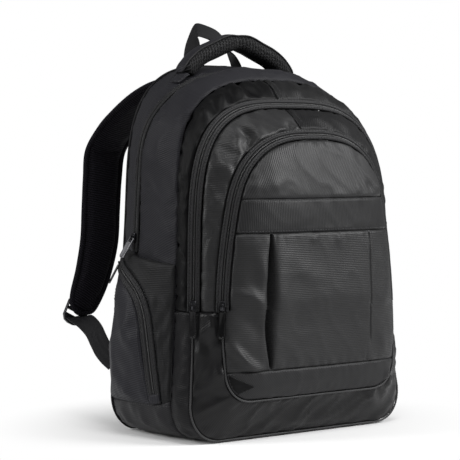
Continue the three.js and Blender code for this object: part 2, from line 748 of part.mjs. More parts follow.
// The outer face of the side zip at a depth y and a height z
function pocketFace(y, z) {
  const grid = pocketGrids(seatGap, pocketCloth + sideZipRise).outer;
  for (let r = 0; r < grid.length - 1; r += 1) {
    for (let c = 0; c < grid[0].length - 1; c += 1) {
      const [a, b, d, e] = [grid[r][c], grid[r][c + 1], grid[r + 1][c + 1], grid[r + 1][c]];
      for (const [p, q, s] of [[a, b, d], [a, d, e]]) {
        const area = (u, v) => (u.y - y) * (v.z - z) - (v.y - y) * (u.z - z);
        const [i, j, k] = [area(q, s), area(s, p), area(p, q)];
        if (Math.min(i, j, k) >= 0 || Math.max(i, j, k) <= 0) {
          const sum = i + j + k;
          return new THREE.Vector3((p.x * i + q.x * j + s.x * k) / sum, y, z);
        }
      }
    }
  }
  return new THREE.Vector3(bodyWidth / 2 + pocketBulge, y, z);
}

// Ribbons, straps and the handle

// A band through places, each with a point, its direction across and, where given, its heading
function ribbonGeometry(places, section) {
  const sections = places.map((place, i) => {
    const ahead = places[Math.min(i + 1, places.length - 1)].point;
    const behind = places[Math.max(i - 1, 0)].point;
    const along = place.along ?? ahead.clone().sub(behind).normalize();
    const across = place.across.clone().addScaledVector(along, -place.across.dot(along)).normalize();
    const out = new THREE.Vector3().crossVectors(across, along).normalize();
    return section(place)
      .map(([u, v]) => place.point.clone().addScaledVector(across, u).addScaledVector(out, v));
  });
  return loftGeometry(sections);
}

const flatSection = () => [[1, -1], [1, 1], [-1, 1], [-1, -1]]
  .map(([u, v]) => [u * webbingWidth / 2, v * webbingThickness / 2]);
const paddedSection = ({ half }) => [
  [1, 0], [0.86, 0.42], [0, 0.5], [-0.86, 0.42], [-1, 0], [-0.86, -0.42], [0, -0.5], [0.86, -0.42],
].map(([u, v]) => [u * half, v * strapThickness]);

function ovalSection(width, height, count) {
  return Array.from({ length: count }, (_, i) => {
    const angle = 2 * Math.PI * (i + 0.5) / count;
    return [width / 2 * Math.cos(angle), height / 2 * Math.sin(angle)];
  });
}

// The body under a seat, grown by the seat's gap, which trims what is sewn onto it
function gussetSeat() {
  const { outer } = bandGrids("back", "laptop", span("over", "bootHigh"), { bulge: laptopBulge, rows: 2 });
  return seatGeometry(outer, (point) => new THREE.Vector3(0, 0, Math.sign(point.z)));
}

function backSeat() {
  const line = backPanelLine();
  const rows = levelsBetween(line, line[0].edge.z, line.at(-1).edge.z).map((z) => {
    const { edge } = edgeAtHeight(line, z);
    const half = Math.max(edge.x, 1e-6);
    return padColumns(edge.x).map((x) => new THREE.Vector3(x, edge.y + backRelief(x, z, half), z));
  });
  return seatGeometry(rows, () => rearward.clone());
}

function seatGeometry(rows, outward) {
  const shift = (distance) => rows
    .map((row) => row.map((point) => point.clone().addScaledVector(outward(point), distance)));
  return wallGeometry(shift(seatGap), shift(-seatDepth));
}

// The grip rises from both feet to a flat peak
function gripGeometry() {
  const count = 12;
  const places = Array.from({ length: count + 1 }, (_, i) => {
    const angle = Math.PI * i / count;
    const point = new THREE.Vector3(-gripReach * Math.cos(angle), gripPlace,
      lerp(gripFoot, gripPeak, Math.sin(angle) ** gripPower));
    const along = i % count === 0 ? up.clone().multiplyScalar(i === 0 ? 1 : -1) : undefined;
    return { point, across: rearward, along };
  });
  return ribbonGeometry(places, () => ovalSection(gripWidth, gripHeight, 10));
}

// The end of the grip's cover, pressed together and sewn down on the gusset
function gripEndGeometry() {
  const heel = new THREE.Vector3(gripReach, gripPlace, gripFoot - seamGap);
  const drop = new THREE.Vector3(gripHeight / 3, 0, -1.2 * gripHeight);
  const places = [0, 0.35, 0.7, 1].map((share) => ({
    point: heel.clone().addScaledVector(drop, share),
    across: rearward,
    along: up.clone().negate(),
    height: lerp(0.9, 0.5, share) * gripHeight,
  }));
  return ribbonGeometry(places, ({ height }) => ovalSection(gripCoverWidth, height, 8));
}

// The hang loop, whose left leg stands up and whose right leg slants down. across is a share of the
// grip's reach, and rise is the share of the way from the crown of the body to the loop's peak.
const loopTable = [
  { across: -0.59, rise: -0.16 }, { across: -0.6, rise: 0.2 }, { across: -0.58, rise: 0.62 },
  { across: -0.53, rise: 0.93 }, { across: -0.46, rise: 1 }, { across: -0.32, rise: 0.9 },
  { across: -0.06, rise: 0.62 }, { across: 0.18, rise: 0.32 }, { across: 0.38, rise: -0.16 },
];

function hangLoopGeometry() {
  const crownHeight = seams.back.top * bodyHeight;
  const places = loopTable.map(({ across, rise }) => ({
    point: new THREE.Vector3(across * gripReach, loopPlace, lerp(crownHeight, loopPeak, rise)),
    across: rearward,
  }));
  return drilled(ribbonGeometry(places, flatSection), gussetSeat());
}

// The shoulder strap, from its root on the back panel. side is a share of half the body's width, reach
// of the strap's reach behind the back seam, height of the body's height and half of half its own width.
const strapTable = [
  { side: 0.38, reach: -0.03, height: 0.945, half: 0.92 },
  { side: 0.41, reach: 0.12, height: 0.935, half: 0.95 },
  { side: 0.45, reach: 0.35, height: 0.906, half: 0.98 },
  { side: 0.48, reach: 0.58, height: 0.867, half: 0.99 },
  { side: 0.512, reach: 0.79, height: 0.821, half: 0.98 },
  { side: 0.543, reach: 0.98, height: 0.757, half: 0.94 },
  { side: 0.555, reach: 1.015, height: 0.68, half: 0.9 },
  { side: 0.569, reach: 1.02, height: 0.59, half: 0.885 },
  { side: 0.595, reach: 1, height: 0.5, half: 0.87 },
  { side: 0.665, reach: 0.98, height: 0.41, half: 0.8 },
  { side: 0.745, reach: 0.965, height: 0.345, half: 0.7 },
  { side: 0.785, reach: 0.96, height: 0.317, half: 0.56 },
  { side: 0.8, reach: 0.955, height: 0.304, half: 0.3 },
];

function strapPlaces() {
  return strapTable.map(({ side, reach, height, half }) => ({
    point: new THREE.Vector3(side * bodyWidth / 2, backPlane + reach * strapReach, height * bodyHeight),
    across: new THREE.Vector3(1, 0, 0),
    half: half * strapWidth / 2,
  }));
}

// The ladder lock lies behind the lower end of the strap, and its tab points down
function lockFrame() {
  const places = strapPlaces();
  const [high, low] = [places.at(-3).point, places.at(-1).point];
  const down = low.clone().sub(high).normalize();
  const clear = strapThickness / 2 + webbingThickness + 3 * seatGap + lock.thickness / 2;
  return frameOn(low.clone().addScaledVector(rearward, clear), down, rearward);
}

function lockGeometry() {
  const { width, length, thickness, rail, tab } = lock;
  const [foot, curve, tip] = [length / 2, length / 2 + 0.75 * tab, length / 2 + tab];
  const outline = new THREE.Shape([
    [-0.5, -foot], [0.5, -foot], [0.5, foot], [0.36, curve], [0.15, tip], [-0.15, tip], [-0.36, curve],
    [-0.5, foot],
  ].map(([x, y]) => new THREE.Vector2(x * width, y)));
  const slot = (length - 3 * rail) / 2;
  for (const start of [-length / 2 + rail, -length / 2 + 2 * rail + slot]) {
    const hole = new THREE.Path([[-1, 0], [1, 0], [1, 1], [-1, 1]]
      .map(([x, y]) => new THREE.Vector2(x * (width / 2 - rail / 2), start + y * slot)));
    outline.holes.push(hole);
  }
  return new THREE.ExtrudeGeometry(outline, { depth: thickness, bevelEnabled: false })
    .translate(0, 0, -thickness / 2).applyMatrix4(lockFrame());
}

// The webbing sewn to the strap's back, which holds the lock by its upper rail
function lockLoopGeometry() {
  const lift = strapThickness / 2 + seatGap + webbingThickness / 2;
  const sewn = strapPlaces().slice(-5, -3).map(({ point }) => point.clone().addScaledVector(rearward, lift));
  const rail = new THREE.Vector3(0, -(lock.length - lock.rail) / 2,
    -(lock.thickness + webbingThickness) / 2 - seatGap).applyMatrix4(lockFrame());
  const across = new THREE.Vector3(1, 0, 0);
  return ribbonGeometry([...sewn, rail].map((point) => ({ point, across })), flatSection);
}

// The strap's webbing, from the lock to the lower corner of the back seam. share is the way along it,
// side and drop bend it off the straight line as shares of the webbing's width, and the rest is its turn.
const webbingTable = [
  { share: 0, side: 0, drop: 0, x: 1, y: 0, z: 0.05 },
  { share: 0.1, side: 0.1, drop: -0.12, x: 1, y: -0.1, z: 0.3 },
  { share: 0.22, side: 0.2, drop: -0.25, x: 0.8, y: -0.3, z: 0.6 },
  { share: 0.36, side: 0.3, drop: -0.15, x: 0.65, y: -0.45, z: 0.66 },
  { share: 0.5, side: 0.25, drop: 0.05, x: 0.62, y: -0.4, z: 0.68 },
  { share: 0.66, side: 0.1, drop: 0.1, x: 0.66, y: -0.2, z: 0.7 },
  { share: 0.84, side: 0, drop: 0.06, x: 0.7, y: 0, z: 0.7 },
  { share: 1, side: 0, drop: 0, x: 0.7, y: 0, z: 0.7 },
];

function strapWebbingGeometry() {
  const start = new THREE.Vector3(0, (lock.length - lock.rail) / 2,
    -(lock.thickness + webbingThickness) / 2 - seatGap).applyMatrix4(lockFrame());
  const end = seamPoint(seams.back, heightParameter(seams.back, anchorHeight))
    .addScaledVector(rearward, seatGap);
  const places = webbingTable.map(({ share, side, drop, x, y, z }) => ({
    point: start.clone().lerp(end, share)
      .add(new THREE.Vector3(-side * webbingWidth, 0, -drop * webbingWidth)),
    across: new THREE.Vector3(-x, y, z),
    along: share === 1 ? rearward.clone().negate() : undefined,
  }));
  return drilled(ribbonGeometry(places, flatSection), backSeat());
}

const group = new THREE.Group();

const finishes = {
  twill: { color: 0x3c3c40, roughness: 0.75, metalness: 0 },
  ribbed: { color: 0x37373a, roughness: 0.6, metalness: 0 },
  satin: { color: 0x333336, roughness: 0.42, metalness: 0 },
  smooth: { color: 0x3a3a3f, roughness: 0.65, metalness: 0 },
  mesh: { color: 0x202124, roughness: 0.9, metalness: 0 },
  webbing: { color: 0x2c2c2f, roughness: 0.7, metalness: 0 },
  zipTape: { color: 0x2e2e30, roughness: 0.6, metalness: 0 },
  plastic: { color: 0x1b1b1d, roughness: 0.3, metalness: 0 },
  metal: { color: 0x55565a, roughness: 0.35, metalness: 0.8 },
};

function addPart(name, geometry, finish, matrix) {
  const mesh = new THREE.Mesh(geometry, new THREE.MeshStandardMaterial(finishes[finish]));
  mesh.name = name;
  if (matrix) mesh.applyMatrix4(matrix);
  group.add(mesh);
}

addPart("back_panel", backPanelGeometry(), "mesh");
const laptopBand = bandGeometry("back", "laptop", "over", "bootHigh", { bulge: laptopBulge, rows: 2 });
addPart("laptop_gusset", laptopBand, "smooth");
const mainBand = bandGeometry("laptop", "main", "over", "bootHigh", { bulge: mainBulge, rows: 4 });
addPart("main_gusset", mainBand, "smooth");
addPart("boot", bootGeometry(), "ribbed");

const midBand = bandGeometry("main", "mid", "over", "splitHigh", { bulge: midBulge, rows: 3 });
addPart("mid_gusset_left", trimmed(midBand, sideOf(-1)), "satin");
addPart("mid_gusset_right", trimmed(midBand, sideOf(1)), "twill");
const midFoot = bandGeometry("main", "mid", "under", "splitLow", { bulge: midBulge, rows: 3 });
addPart("mid_gusset_lower", midFoot, "satin");

const midFace = bandGeometry("mid", "front", "over", "splitHigh", { bulge: panelBulge, rows: 3 });
addPart("mid_panel_left", trimmed(midFace, sideOf(-1)), "ribbed");
addPart("mid_panel_right", trimmed(midFace, sideOf(1)), "twill");
const faceFoot = bandGeometry("mid", "front", "under", "splitLow", { bulge: panelBulge, rows: 3 });
addPart("mid_panel_lower", faceFoot, "satin");

const zipNames = Object.keys(zipWidth);
for (const name of zipNames) addPart(`${name}_zip`, zipGeometry(name), "zipTape");

const gapAbove = (z) => z + seamGap / 2;
const gapBelow = (z) => z - seamGap / 2;
const [frontSole, frontTop] = [frontLine[0].edge.z, frontLine.at(-1).edge.z];
addPart("front_dome", frontSheet(gapAbove(bandTop), frontTop), "twill");
addPart("front_band", frontSheet(gapAbove(bandBottom), gapBelow(bandTop)), "ribbed");
const pleated = frontSheet(gapAbove(hemTop), gapBelow(bandBottom), pleatedColumns, pleatDip);
addPart("front_pocket", pleated, "ribbed");
addPart("front_hem", frontSheet(frontSole, gapBelow(hemTop)), "twill");
addPart("front_pocket_back", pocketBackGeometry(), "smooth");

const sides = [["right", (geometry) => geometry], ["left", mirrored]];
const sidePocket = sidePocketParts();
for (const [side, turn] of sides) {
  addPart(`side_pocket_rear_${side}`, turn(sidePocket.rear), "smooth");
  addPart(`side_pocket_front_${side}`, turn(sidePocket.fore), "ribbed");
  addPart(`side_pocket_zip_${side}`, turn(sidePocket.zip), "zipTape");
}

addPart("grip", gripGeometry(), "mesh");
addPart("hang_loop", hangLoopGeometry(), "webbing");
const [bodySeat, panelSeat] = [gussetSeat(), backSeat()];
const strap = ribbonGeometry(strapPlaces(), paddedSection);
for (const [side, turn] of sides) {
  addPart(`grip_end_${side}`, drilled(turn(gripEndGeometry()), bodySeat), "smooth");
  addPart(`shoulder_strap_${side}`, drilled(drilled(turn(strap), panelSeat), bodySeat), "mesh");
  addPart(`lock_loop_${side}`, turn(lockLoopGeometry()), "webbing");
  addPart(`strap_webbing_${side}`, turn(strapWebbingGeometry()), "webbing");
  addPart(`ladder_lock_${side}`, turn(tidyGeometry(lockGeometry())), "plastic");
}

for (const name of zipNames) {
  const frame = bodySliderFrame(name);
  addPart(`${name}_slider`, sliderGeometry(), "metal", frame);
  addPart(`${name}_pull`, pullGeometry(pullLength[name]), "plastic", pullFrame(frame, pullRest[name]));
}
for (const [side, turn] of sides) {
  const frame = sideSliderFrame();
  addPart(`side_slider_${side}`, turn(sliderGeometry().applyMatrix4(frame)), "metal");
  const tab = pullGeometry(pullLength.side).applyMatrix4(pullFrame(frame, pullRest.side));
  addPart(`side_pull_${side}`, turn(tab), "plastic");
}

export default group;
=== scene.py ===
"""Laptop backpack: the visual model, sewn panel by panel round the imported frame."""

from __future__ import annotations

import json
import logging
import math
from dataclasses import dataclass, field
from enum import Enum, IntEnum
from typing import Any, Callable, Sequence

import bmesh
import bpy
import numpy as np
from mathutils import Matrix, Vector

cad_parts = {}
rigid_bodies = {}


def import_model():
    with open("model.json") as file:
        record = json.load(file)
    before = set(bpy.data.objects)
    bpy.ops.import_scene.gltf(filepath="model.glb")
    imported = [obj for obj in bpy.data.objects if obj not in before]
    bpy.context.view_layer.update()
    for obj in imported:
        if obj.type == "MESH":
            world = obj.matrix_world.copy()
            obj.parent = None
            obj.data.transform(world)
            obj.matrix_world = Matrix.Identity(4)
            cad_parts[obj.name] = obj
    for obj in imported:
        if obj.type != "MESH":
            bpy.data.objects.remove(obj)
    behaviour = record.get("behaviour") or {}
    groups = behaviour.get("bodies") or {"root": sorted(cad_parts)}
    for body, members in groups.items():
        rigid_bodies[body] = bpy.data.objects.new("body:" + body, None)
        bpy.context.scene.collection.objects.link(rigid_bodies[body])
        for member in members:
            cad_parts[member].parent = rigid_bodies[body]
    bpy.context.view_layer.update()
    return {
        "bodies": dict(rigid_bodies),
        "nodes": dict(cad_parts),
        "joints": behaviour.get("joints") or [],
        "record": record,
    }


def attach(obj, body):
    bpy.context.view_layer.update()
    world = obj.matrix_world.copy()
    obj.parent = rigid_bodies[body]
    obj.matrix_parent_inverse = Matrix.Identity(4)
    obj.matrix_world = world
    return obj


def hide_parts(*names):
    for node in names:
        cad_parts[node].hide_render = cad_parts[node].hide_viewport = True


LOG = logging.getLogger("backpack")
MM = 0.001
BAG = "bag"
CLOTH_MAP = "Cloth"
UP = np.array([0.0, 0.0, 1.0])
REARWARD = np.array([0.0, 1.0, 0.0])
SIDEWAYS = np.array([1.0, 0.0, 0.0])
SIDES = ((1.0, "right"), (-1.0, "left"))
Points = np.ndarray
# Points inside the bag that the outer side of a panel faces away from
BODY_HEART = np.array([0, 0, 230.0])
FRONT_HEART = np.array([0, 60.0, 190.0])
POCKET_HEART = np.array([0, 20.0, 130.0])
GRIP_HEART = np.array([0, 47.0, 455.0])
GRIP_END_HEART = np.array([0, 47.0, 400.0])
# Lengths below which points merge, faces vanish and a solid's loose triangles join, in metres
MERGE_GAP, SLIVER, WELD = 0.02 * MM, 0.01 * MM, 0.005 * MM


@dataclass(frozen=True)
class BodySizes:
    """Sizes of the body that every seam is drawn from, in millimetres."""

    height: float = 460
    width: float = 336
    depth: float = 217
    back_plane: float = 92
    lean_height: float = 470
    seam_gap: float = 0.3
    boot_rear: float = 42
    boot_front: float = 50
    zip_foot: float = 158
    pocket_rear: float = 231
    pocket_front: float = 213
    step: float = 1.2
    panel_seam: float = -12


BODY = BodySizes()
SOLE_END, FOOT_END, SIDE_END = 0.1, 0.3, 0.6
FOOT_POWER = 2.2
ARCH_STEPS = 9
STITCH_SIDES = 6
ZIP_THREADS = (5, -6)


class Station(IntEnum):
    """Places that the panels end at, on a seam's outline from the middle of the sole, 0, to the crown."""

    BOOT_LOW = 6
    BOOT_HIGH = 7
    SPLIT_LOW = 11
    SPLIT_HIGH = 12
    POCKET_LOW = 13
    POCKET_HIGH = 14
    ARCH_START = 16
    CROWN = 25


def unit(vectors: Points) -> Points:
    """Return the vectors at length one."""
    return vectors / np.maximum(np.linalg.norm(vectors, axis=-1, keepdims=True), 1e-12)


def lerp(a: Any, b: Any, k: Any) -> Any:
    """Return the value a share k of the way from a to b."""
    return a + (b - a) * k


def smooth(k: Any) -> Any:
    """Return k, held between 0 and 1, with soft ends."""
    k = np.clip(k, 0, 1)
    return k * k * (3 - 2 * k)


@dataclass(frozen=True)
class Seam:
    """One closed seam of the body, as shares of the body's depth, half width and height."""

    depth: float
    foot_lean: float
    top_lean: float
    foot: float
    waist: float
    shoulder: float
    top: float
    sole: float
    arch: float
    corner: float
    power: float
    tilt: float

    def levels(self) -> tuple[float, float, float, float, float]:
        """Return the heights of the sole and top, the corner radius, and where foot and arch end."""
        sole, top = self.sole * BODY.height, self.top * BODY.height
        corner = self.corner * BODY.width / 2
        return sole, top, corner, sole + corner, top - self.arch * BODY.height

    def half_width(self, z: Any) -> Points:
        """Return half the width of the seam at heights z.

        Args:
            z: Heights in millimetres.

        Returns:
            Half widths in millimetres.
        """
        z = np.asarray(z, float)
        _, _, _, foot_end, arch_start = self.levels()
        foot, waist, shoulder = (share * BODY.width / 2 for share in (self.foot, self.waist, self.shoulder))
        k = (z - foot_end) / (arch_start - foot_end)
        slope = (foot - 4 * waist + 3 * shoulder) / (arch_start - foot_end)
        reach = self.arch * BODY.height / 2
        above = shoulder + slope * reach * (1 - np.exp(-np.maximum(z - arch_start, 0) / reach))
        between = foot * (1 - k) * (1 - 2 * k) + 4 * waist * k * (1 - k) + shoulder * k * (2 * k - 1)
        return np.where(k <= 0, foot, np.where(k >= 1, above, between))

    def points(self, s: Any) -> Points:
        """Return points of the right half of the seam.

        Args:
            s: Parameters from 0, the middle of the sole, to 1, the crown.

        Returns:
            An array of points in millimetres.
        """
        s = np.asarray(s, float)
        sole, top, corner, foot_end, arch_start = self.levels()
        foot = self.half_width(0)
        sole_x = (foot - corner) * s / SOLE_END
        turn = np.pi / 2 * np.clip((s - SOLE_END) / (FOOT_END - SOLE_END), 0, 1)
        foot_x = foot - corner * (1 - np.sin(turn) ** (2 / FOOT_POWER))
        foot_z = sole + corner * (1 - np.maximum(np.cos(turn), 0) ** (2 / FOOT_POWER))
        side_z = lerp(foot_end, arch_start, np.clip((s - FOOT_END) / (SIDE_END - FOOT_END), 0, 1))
        bend = np.pi / 2 * np.clip((s - SIDE_END) / (1 - SIDE_END), 0, 1)
        arch_z = lerp(arch_start, top, np.sin(bend) ** (2 / self.power))
        arch_x = self.half_width(arch_z) * np.maximum(np.cos(bend), 0) ** (2 / self.power)
        zones = [s < SOLE_END, s < FOOT_END, s < SIDE_END]
        x = np.select(zones, [sole_x, foot_x, self.half_width(side_z)], arch_x)
        z = np.select(zones, [np.full_like(s, sole), foot_z, side_z], arch_z)
        rise = 2 * z / BODY.lean_height - 1
        lean = np.where(rise < 0, self.foot_lean, self.top_lean)
        y = BODY.back_plane - (self.depth + lean * rise * rise) * BODY.depth
        return np.stack([x, y, z], -1)

    def normals(self, s: Any) -> Points:
        """Return the directions out of the body across the seam, in its upright plane."""
        s = np.asarray(s, float)
        ahead, behind = self.points(np.minimum(s + 0.002, 1)), self.points(np.maximum(s - 0.002, 0))
        flat = np.zeros_like(s)
        normal = unit(np.stack([ahead[..., 2] - behind[..., 2], flat, behind[..., 0] - ahead[..., 0]], -1))
        normal[s <= 0] = -UP
        normal[s >= 1] = UP
        return normal

    def parameter(self, z: float) -> float:
        """Return the parameter at which the seam reaches the height z."""
        low, high = 0.0, 1.0
        for _ in range(40):
            middle = (low + high) / 2
            if self.points(middle)[2] < z:
                low = middle
            else:
                high = middle
        return (low + high) / 2

    def stations(self) -> Points:
        """Return the parameter of each Station, with every step of the arch."""
        sole, _, corner, _, _ = self.levels()
        share = min(max(self.depth / SEAM_MAIN.depth, 0), 1)
        boot = max(lerp(BODY.boot_rear, BODY.boot_front, share), sole + corner / 4)
        pocket = lerp(BODY.pocket_rear, BODY.pocket_front, share)
        at, gap, step = self.parameter, BODY.seam_gap / 2, BODY.step / 2
        ankle, foot = at(boot), at(BODY.zip_foot)
        toes = [lerp(SOLE_END, ankle, part) for part in (0.25, 0.5, 0.75)]
        shins = [lerp(ankle, foot, part) for part in (0.25, 0.5, 0.75)]
        high = at(pocket + step)
        arch = [lerp(SIDE_END, 1, i / ARCH_STEPS) for i in range(ARCH_STEPS + 1)]
        return np.array([0, SOLE_END / 2, SOLE_END, *toes, at(boot - gap), at(boot + gap), *shins,
                         at(BODY.zip_foot - gap), at(BODY.zip_foot + gap), at(pocket - step), high,
                         (high + SIDE_END) / 2, *arch])


SEAM_BACK = Seam(0, 0.055, 0.028, 1, 0.886, 0.83, 0.994, 0, 0.366, 0.26, 3.1, 0)
SEAM_LAPTOP = Seam(0.222, 0, 0.11, 1.05, 0.972, 0.937, 0.977, 0, 0.24, 0.28, 2.25, 0)
SEAM_MAIN = Seam(0.585, 0.028, -0.078, 1.02, 0.96, 0.929, 0.951, 0, 0.338, 0.26, 2.8, 0)
SEAM_MID = Seam(0.73, 0.065, -0.071, 1.01, 0.956, 0.932, 0.884, 0.006, 0.41, 0.25, 3.25, 45)
SEAM_FRONT = Seam(0.866, 0.055, 0.058, 0.815, 0.818, 0.753, 0.802, 0.109, 0.233, 0.238, 2.58, 50)


@dataclass(frozen=True)
class Outline:
    """A seam with its stations, and the zip that opens it from a station upwards."""

    seam: Seam
    zip_width: float = 0
    zip_start: int = Station.CROWN + 1
    table: Points = field(default=None, compare=False)

    def __post_init__(self) -> None:
        """Work out the stations once."""
        object.__setattr__(self, "table", self.seam.stations())

    def s(self, t: Any) -> Points:
        """Return the seam's parameters at station places t, which may lie between stations."""
        return np.interp(t, np.arange(len(self.table)), self.table)

    def spread(self, t: Any) -> Points:
        """Return the direction across the seam, towards the back, at station places t."""
        tilt = math.radians(self.seam.tilt)
        across = self.seam.normals(self.s(t)) * math.sin(tilt) + REARWARD * math.cos(tilt)
        if self.zip_width:
            across[..., 2] *= np.clip(np.abs(np.asarray(t) - self.zip_start), 0, 1)
        return across

    def out(self, t: Any) -> Points:
        """Return the direction out of a zip on the seam at station places t."""
        tilt = math.radians(self.seam.tilt)
        return self.seam.normals(self.s(t)) * math.cos(tilt) - REARWARD * math.sin(tilt)

    def place(self, t: Any, across: Any) -> Points:
        """Return points of the seam moved across it, in millimetres towards the back."""
        return self.seam.points(self.s(t)) + self.spread(t) * np.asarray(across)[..., None]

    def edge(self, t: Any, side: int) -> Points:
        """Return the edge of the panel behind the seam, side 1, or before it, side -1."""
        start = self.zip_start
        reach = np.interp(t, [start - 1, start], [BODY.seam_gap / 2, max(self.zip_width, BODY.seam_gap) / 2])
        return self.place(t, side * reach)


BACK = Outline(SEAM_BACK)
LAPTOP = Outline(SEAM_LAPTOP, 10, Station.POCKET_HIGH)
MAIN = Outline(SEAM_MAIN)
MID = Outline(SEAM_MID, 16, Station.SPLIT_HIGH)
FRONT = Outline(SEAM_FRONT, 16, Station.SPLIT_HIGH)


def distances(total: float, near: Sequence[float] = (0, 0.6, 1.3, 2.3, 3.6, 5.2), step: float = 4.0) -> Points:
    """Return shares from 0 to 1 that lie close together near both ends.

    Args:
        total: The whole length in millimetres.
        near: Distances from each end that get a row.
        step: The spacing of the rows between.

    Returns:
        Rising shares of the length.
    """
    low = [d for d in near if d < total / 2]
    count = max(int((total - 2 * low[-1]) / step), 1)
    middle = np.linspace(low[-1], total - low[-1], count + 1)[1:-1]
    return np.array([*low, *middle, *[total - d for d in reversed(low)]]) / total


def even_places(outline: Outline, start: float, end: float, spacing: float) -> Points:
    """Return station places between start and end that are evenly spaced along the seam."""
    t = np.linspace(start, end, 1600)
    path = outline.seam.points(outline.s(t))
    length = arc_length(path, 0)
    return np.interp(distances(length[-1], step=spacing) * length[-1], length, t)


def rim_places(side_count: int, crown_count: int) -> Points:
    """Return station places from the sole to the crown, closer together in the last step."""
    last = Station.CROWN - 1
    return np.concatenate([np.linspace(0, last, side_count), np.linspace(last, Station.CROWN, crown_count)])


def rim_at(rim: Points, z: Points) -> tuple[Points, Points]:
    """Return the half width and the depth of a rim at heights z."""
    side = rim[int(np.argmax(rim[:, 2] > rim[0, 2] + 1e-4)) - 1:]
    return np.interp(z, side[:, 2], side[:, 0]), np.interp(z, side[:, 2], side[:, 1])


def gradient_noise(u: Points, v: Points, seed: int) -> Points:
    """Return smooth noise between about -1 and 1 at the places u, v.

    Args:
        u: First coordinates, one unit to a cell.
        v: Second coordinates.
        seed: Number that fixes the pattern.

    Returns:
        The noise, in the shape of u.
    """
    draw = np.random.default_rng(seed)
    angles, order = draw.uniform(0, 2 * np.pi, 256), draw.permutation(256)
    iu, iv = np.floor(u).astype(int), np.floor(v).astype(int)
    fu, fv = u - iu, v - iv

    def corner(du: int, dv: int) -> Points:
        """Return one corner's share of the slope."""
        angle = angles[order[(iu + du + order[(iv + dv) & 255]) & 255]]
        return np.cos(angle) * (fu - du) + np.sin(angle) * (fv - dv)

    a, b = smooth(fu), smooth(fv)
    return 1.6 * lerp(lerp(corner(0, 0), corner(1, 0), a), lerp(corner(0, 1), corner(1, 1), a), b)


def edge_distance(points: Points, edges: Sequence[Points]) -> Points:
    """Return the distance of each point from the nearest of some polylines, given as dense points."""
    flat = points.reshape(-1, 3)
    rim = np.concatenate(edges)
    nearest = np.full(len(flat), 1e9)
    for start in range(0, len(rim), 64):
        part = rim[start:start + 64]
        gap = np.linalg.norm(flat[:, None, :] - part[None, :, :], axis=2).min(axis=1)
        nearest = np.minimum(nearest, gap)
    return nearest.reshape(points.shape[:-1])


@dataclass(frozen=True)
class Fold:
    """A soft ridge, or a hollow for a negative height, along a line on the cloth, in millimetres."""

    line: tuple[tuple[float, float, float], ...]
    width: float
    height: float

    def lift(self, points: Points) -> Points:
        """Return how far the fold lifts each point of the cloth, with its line laid on the cloth."""
        flat = points.reshape(-1, 3)
        knots = np.array(self.line, float)
        line = np.array([flat[np.linalg.norm(flat - knot, axis=1).argmin()] for knot in knots])
        best, along = np.full(points.shape[:-1], 1e9), np.zeros(points.shape[:-1])
        for i, (a, b) in enumerate(zip(line[:-1], line[1:])):
            way = b - a
            k = np.clip(((points - a) @ way) / (way @ way), 0, 1)
            gap = np.linalg.norm(points - (a + k[..., None] * way), axis=-1)
            closer = gap < best
            best = np.where(closer, gap, best)
            along = np.where(closer, (i + k) / (len(line) - 1), along)
        return self.height * np.exp(-(best / self.width) ** 2) * (0.25 + 3 * along * (1 - along))


def folds(*rows: tuple[float, ...]) -> tuple[Fold, ...]:
    """Return folds from rows of a width, a height, and the x, y and z of each knot of the fold's line."""
    return tuple(Fold(tuple(zip(row[2::3], row[3::3], row[4::3])), row[0], row[1]) for row in rows)


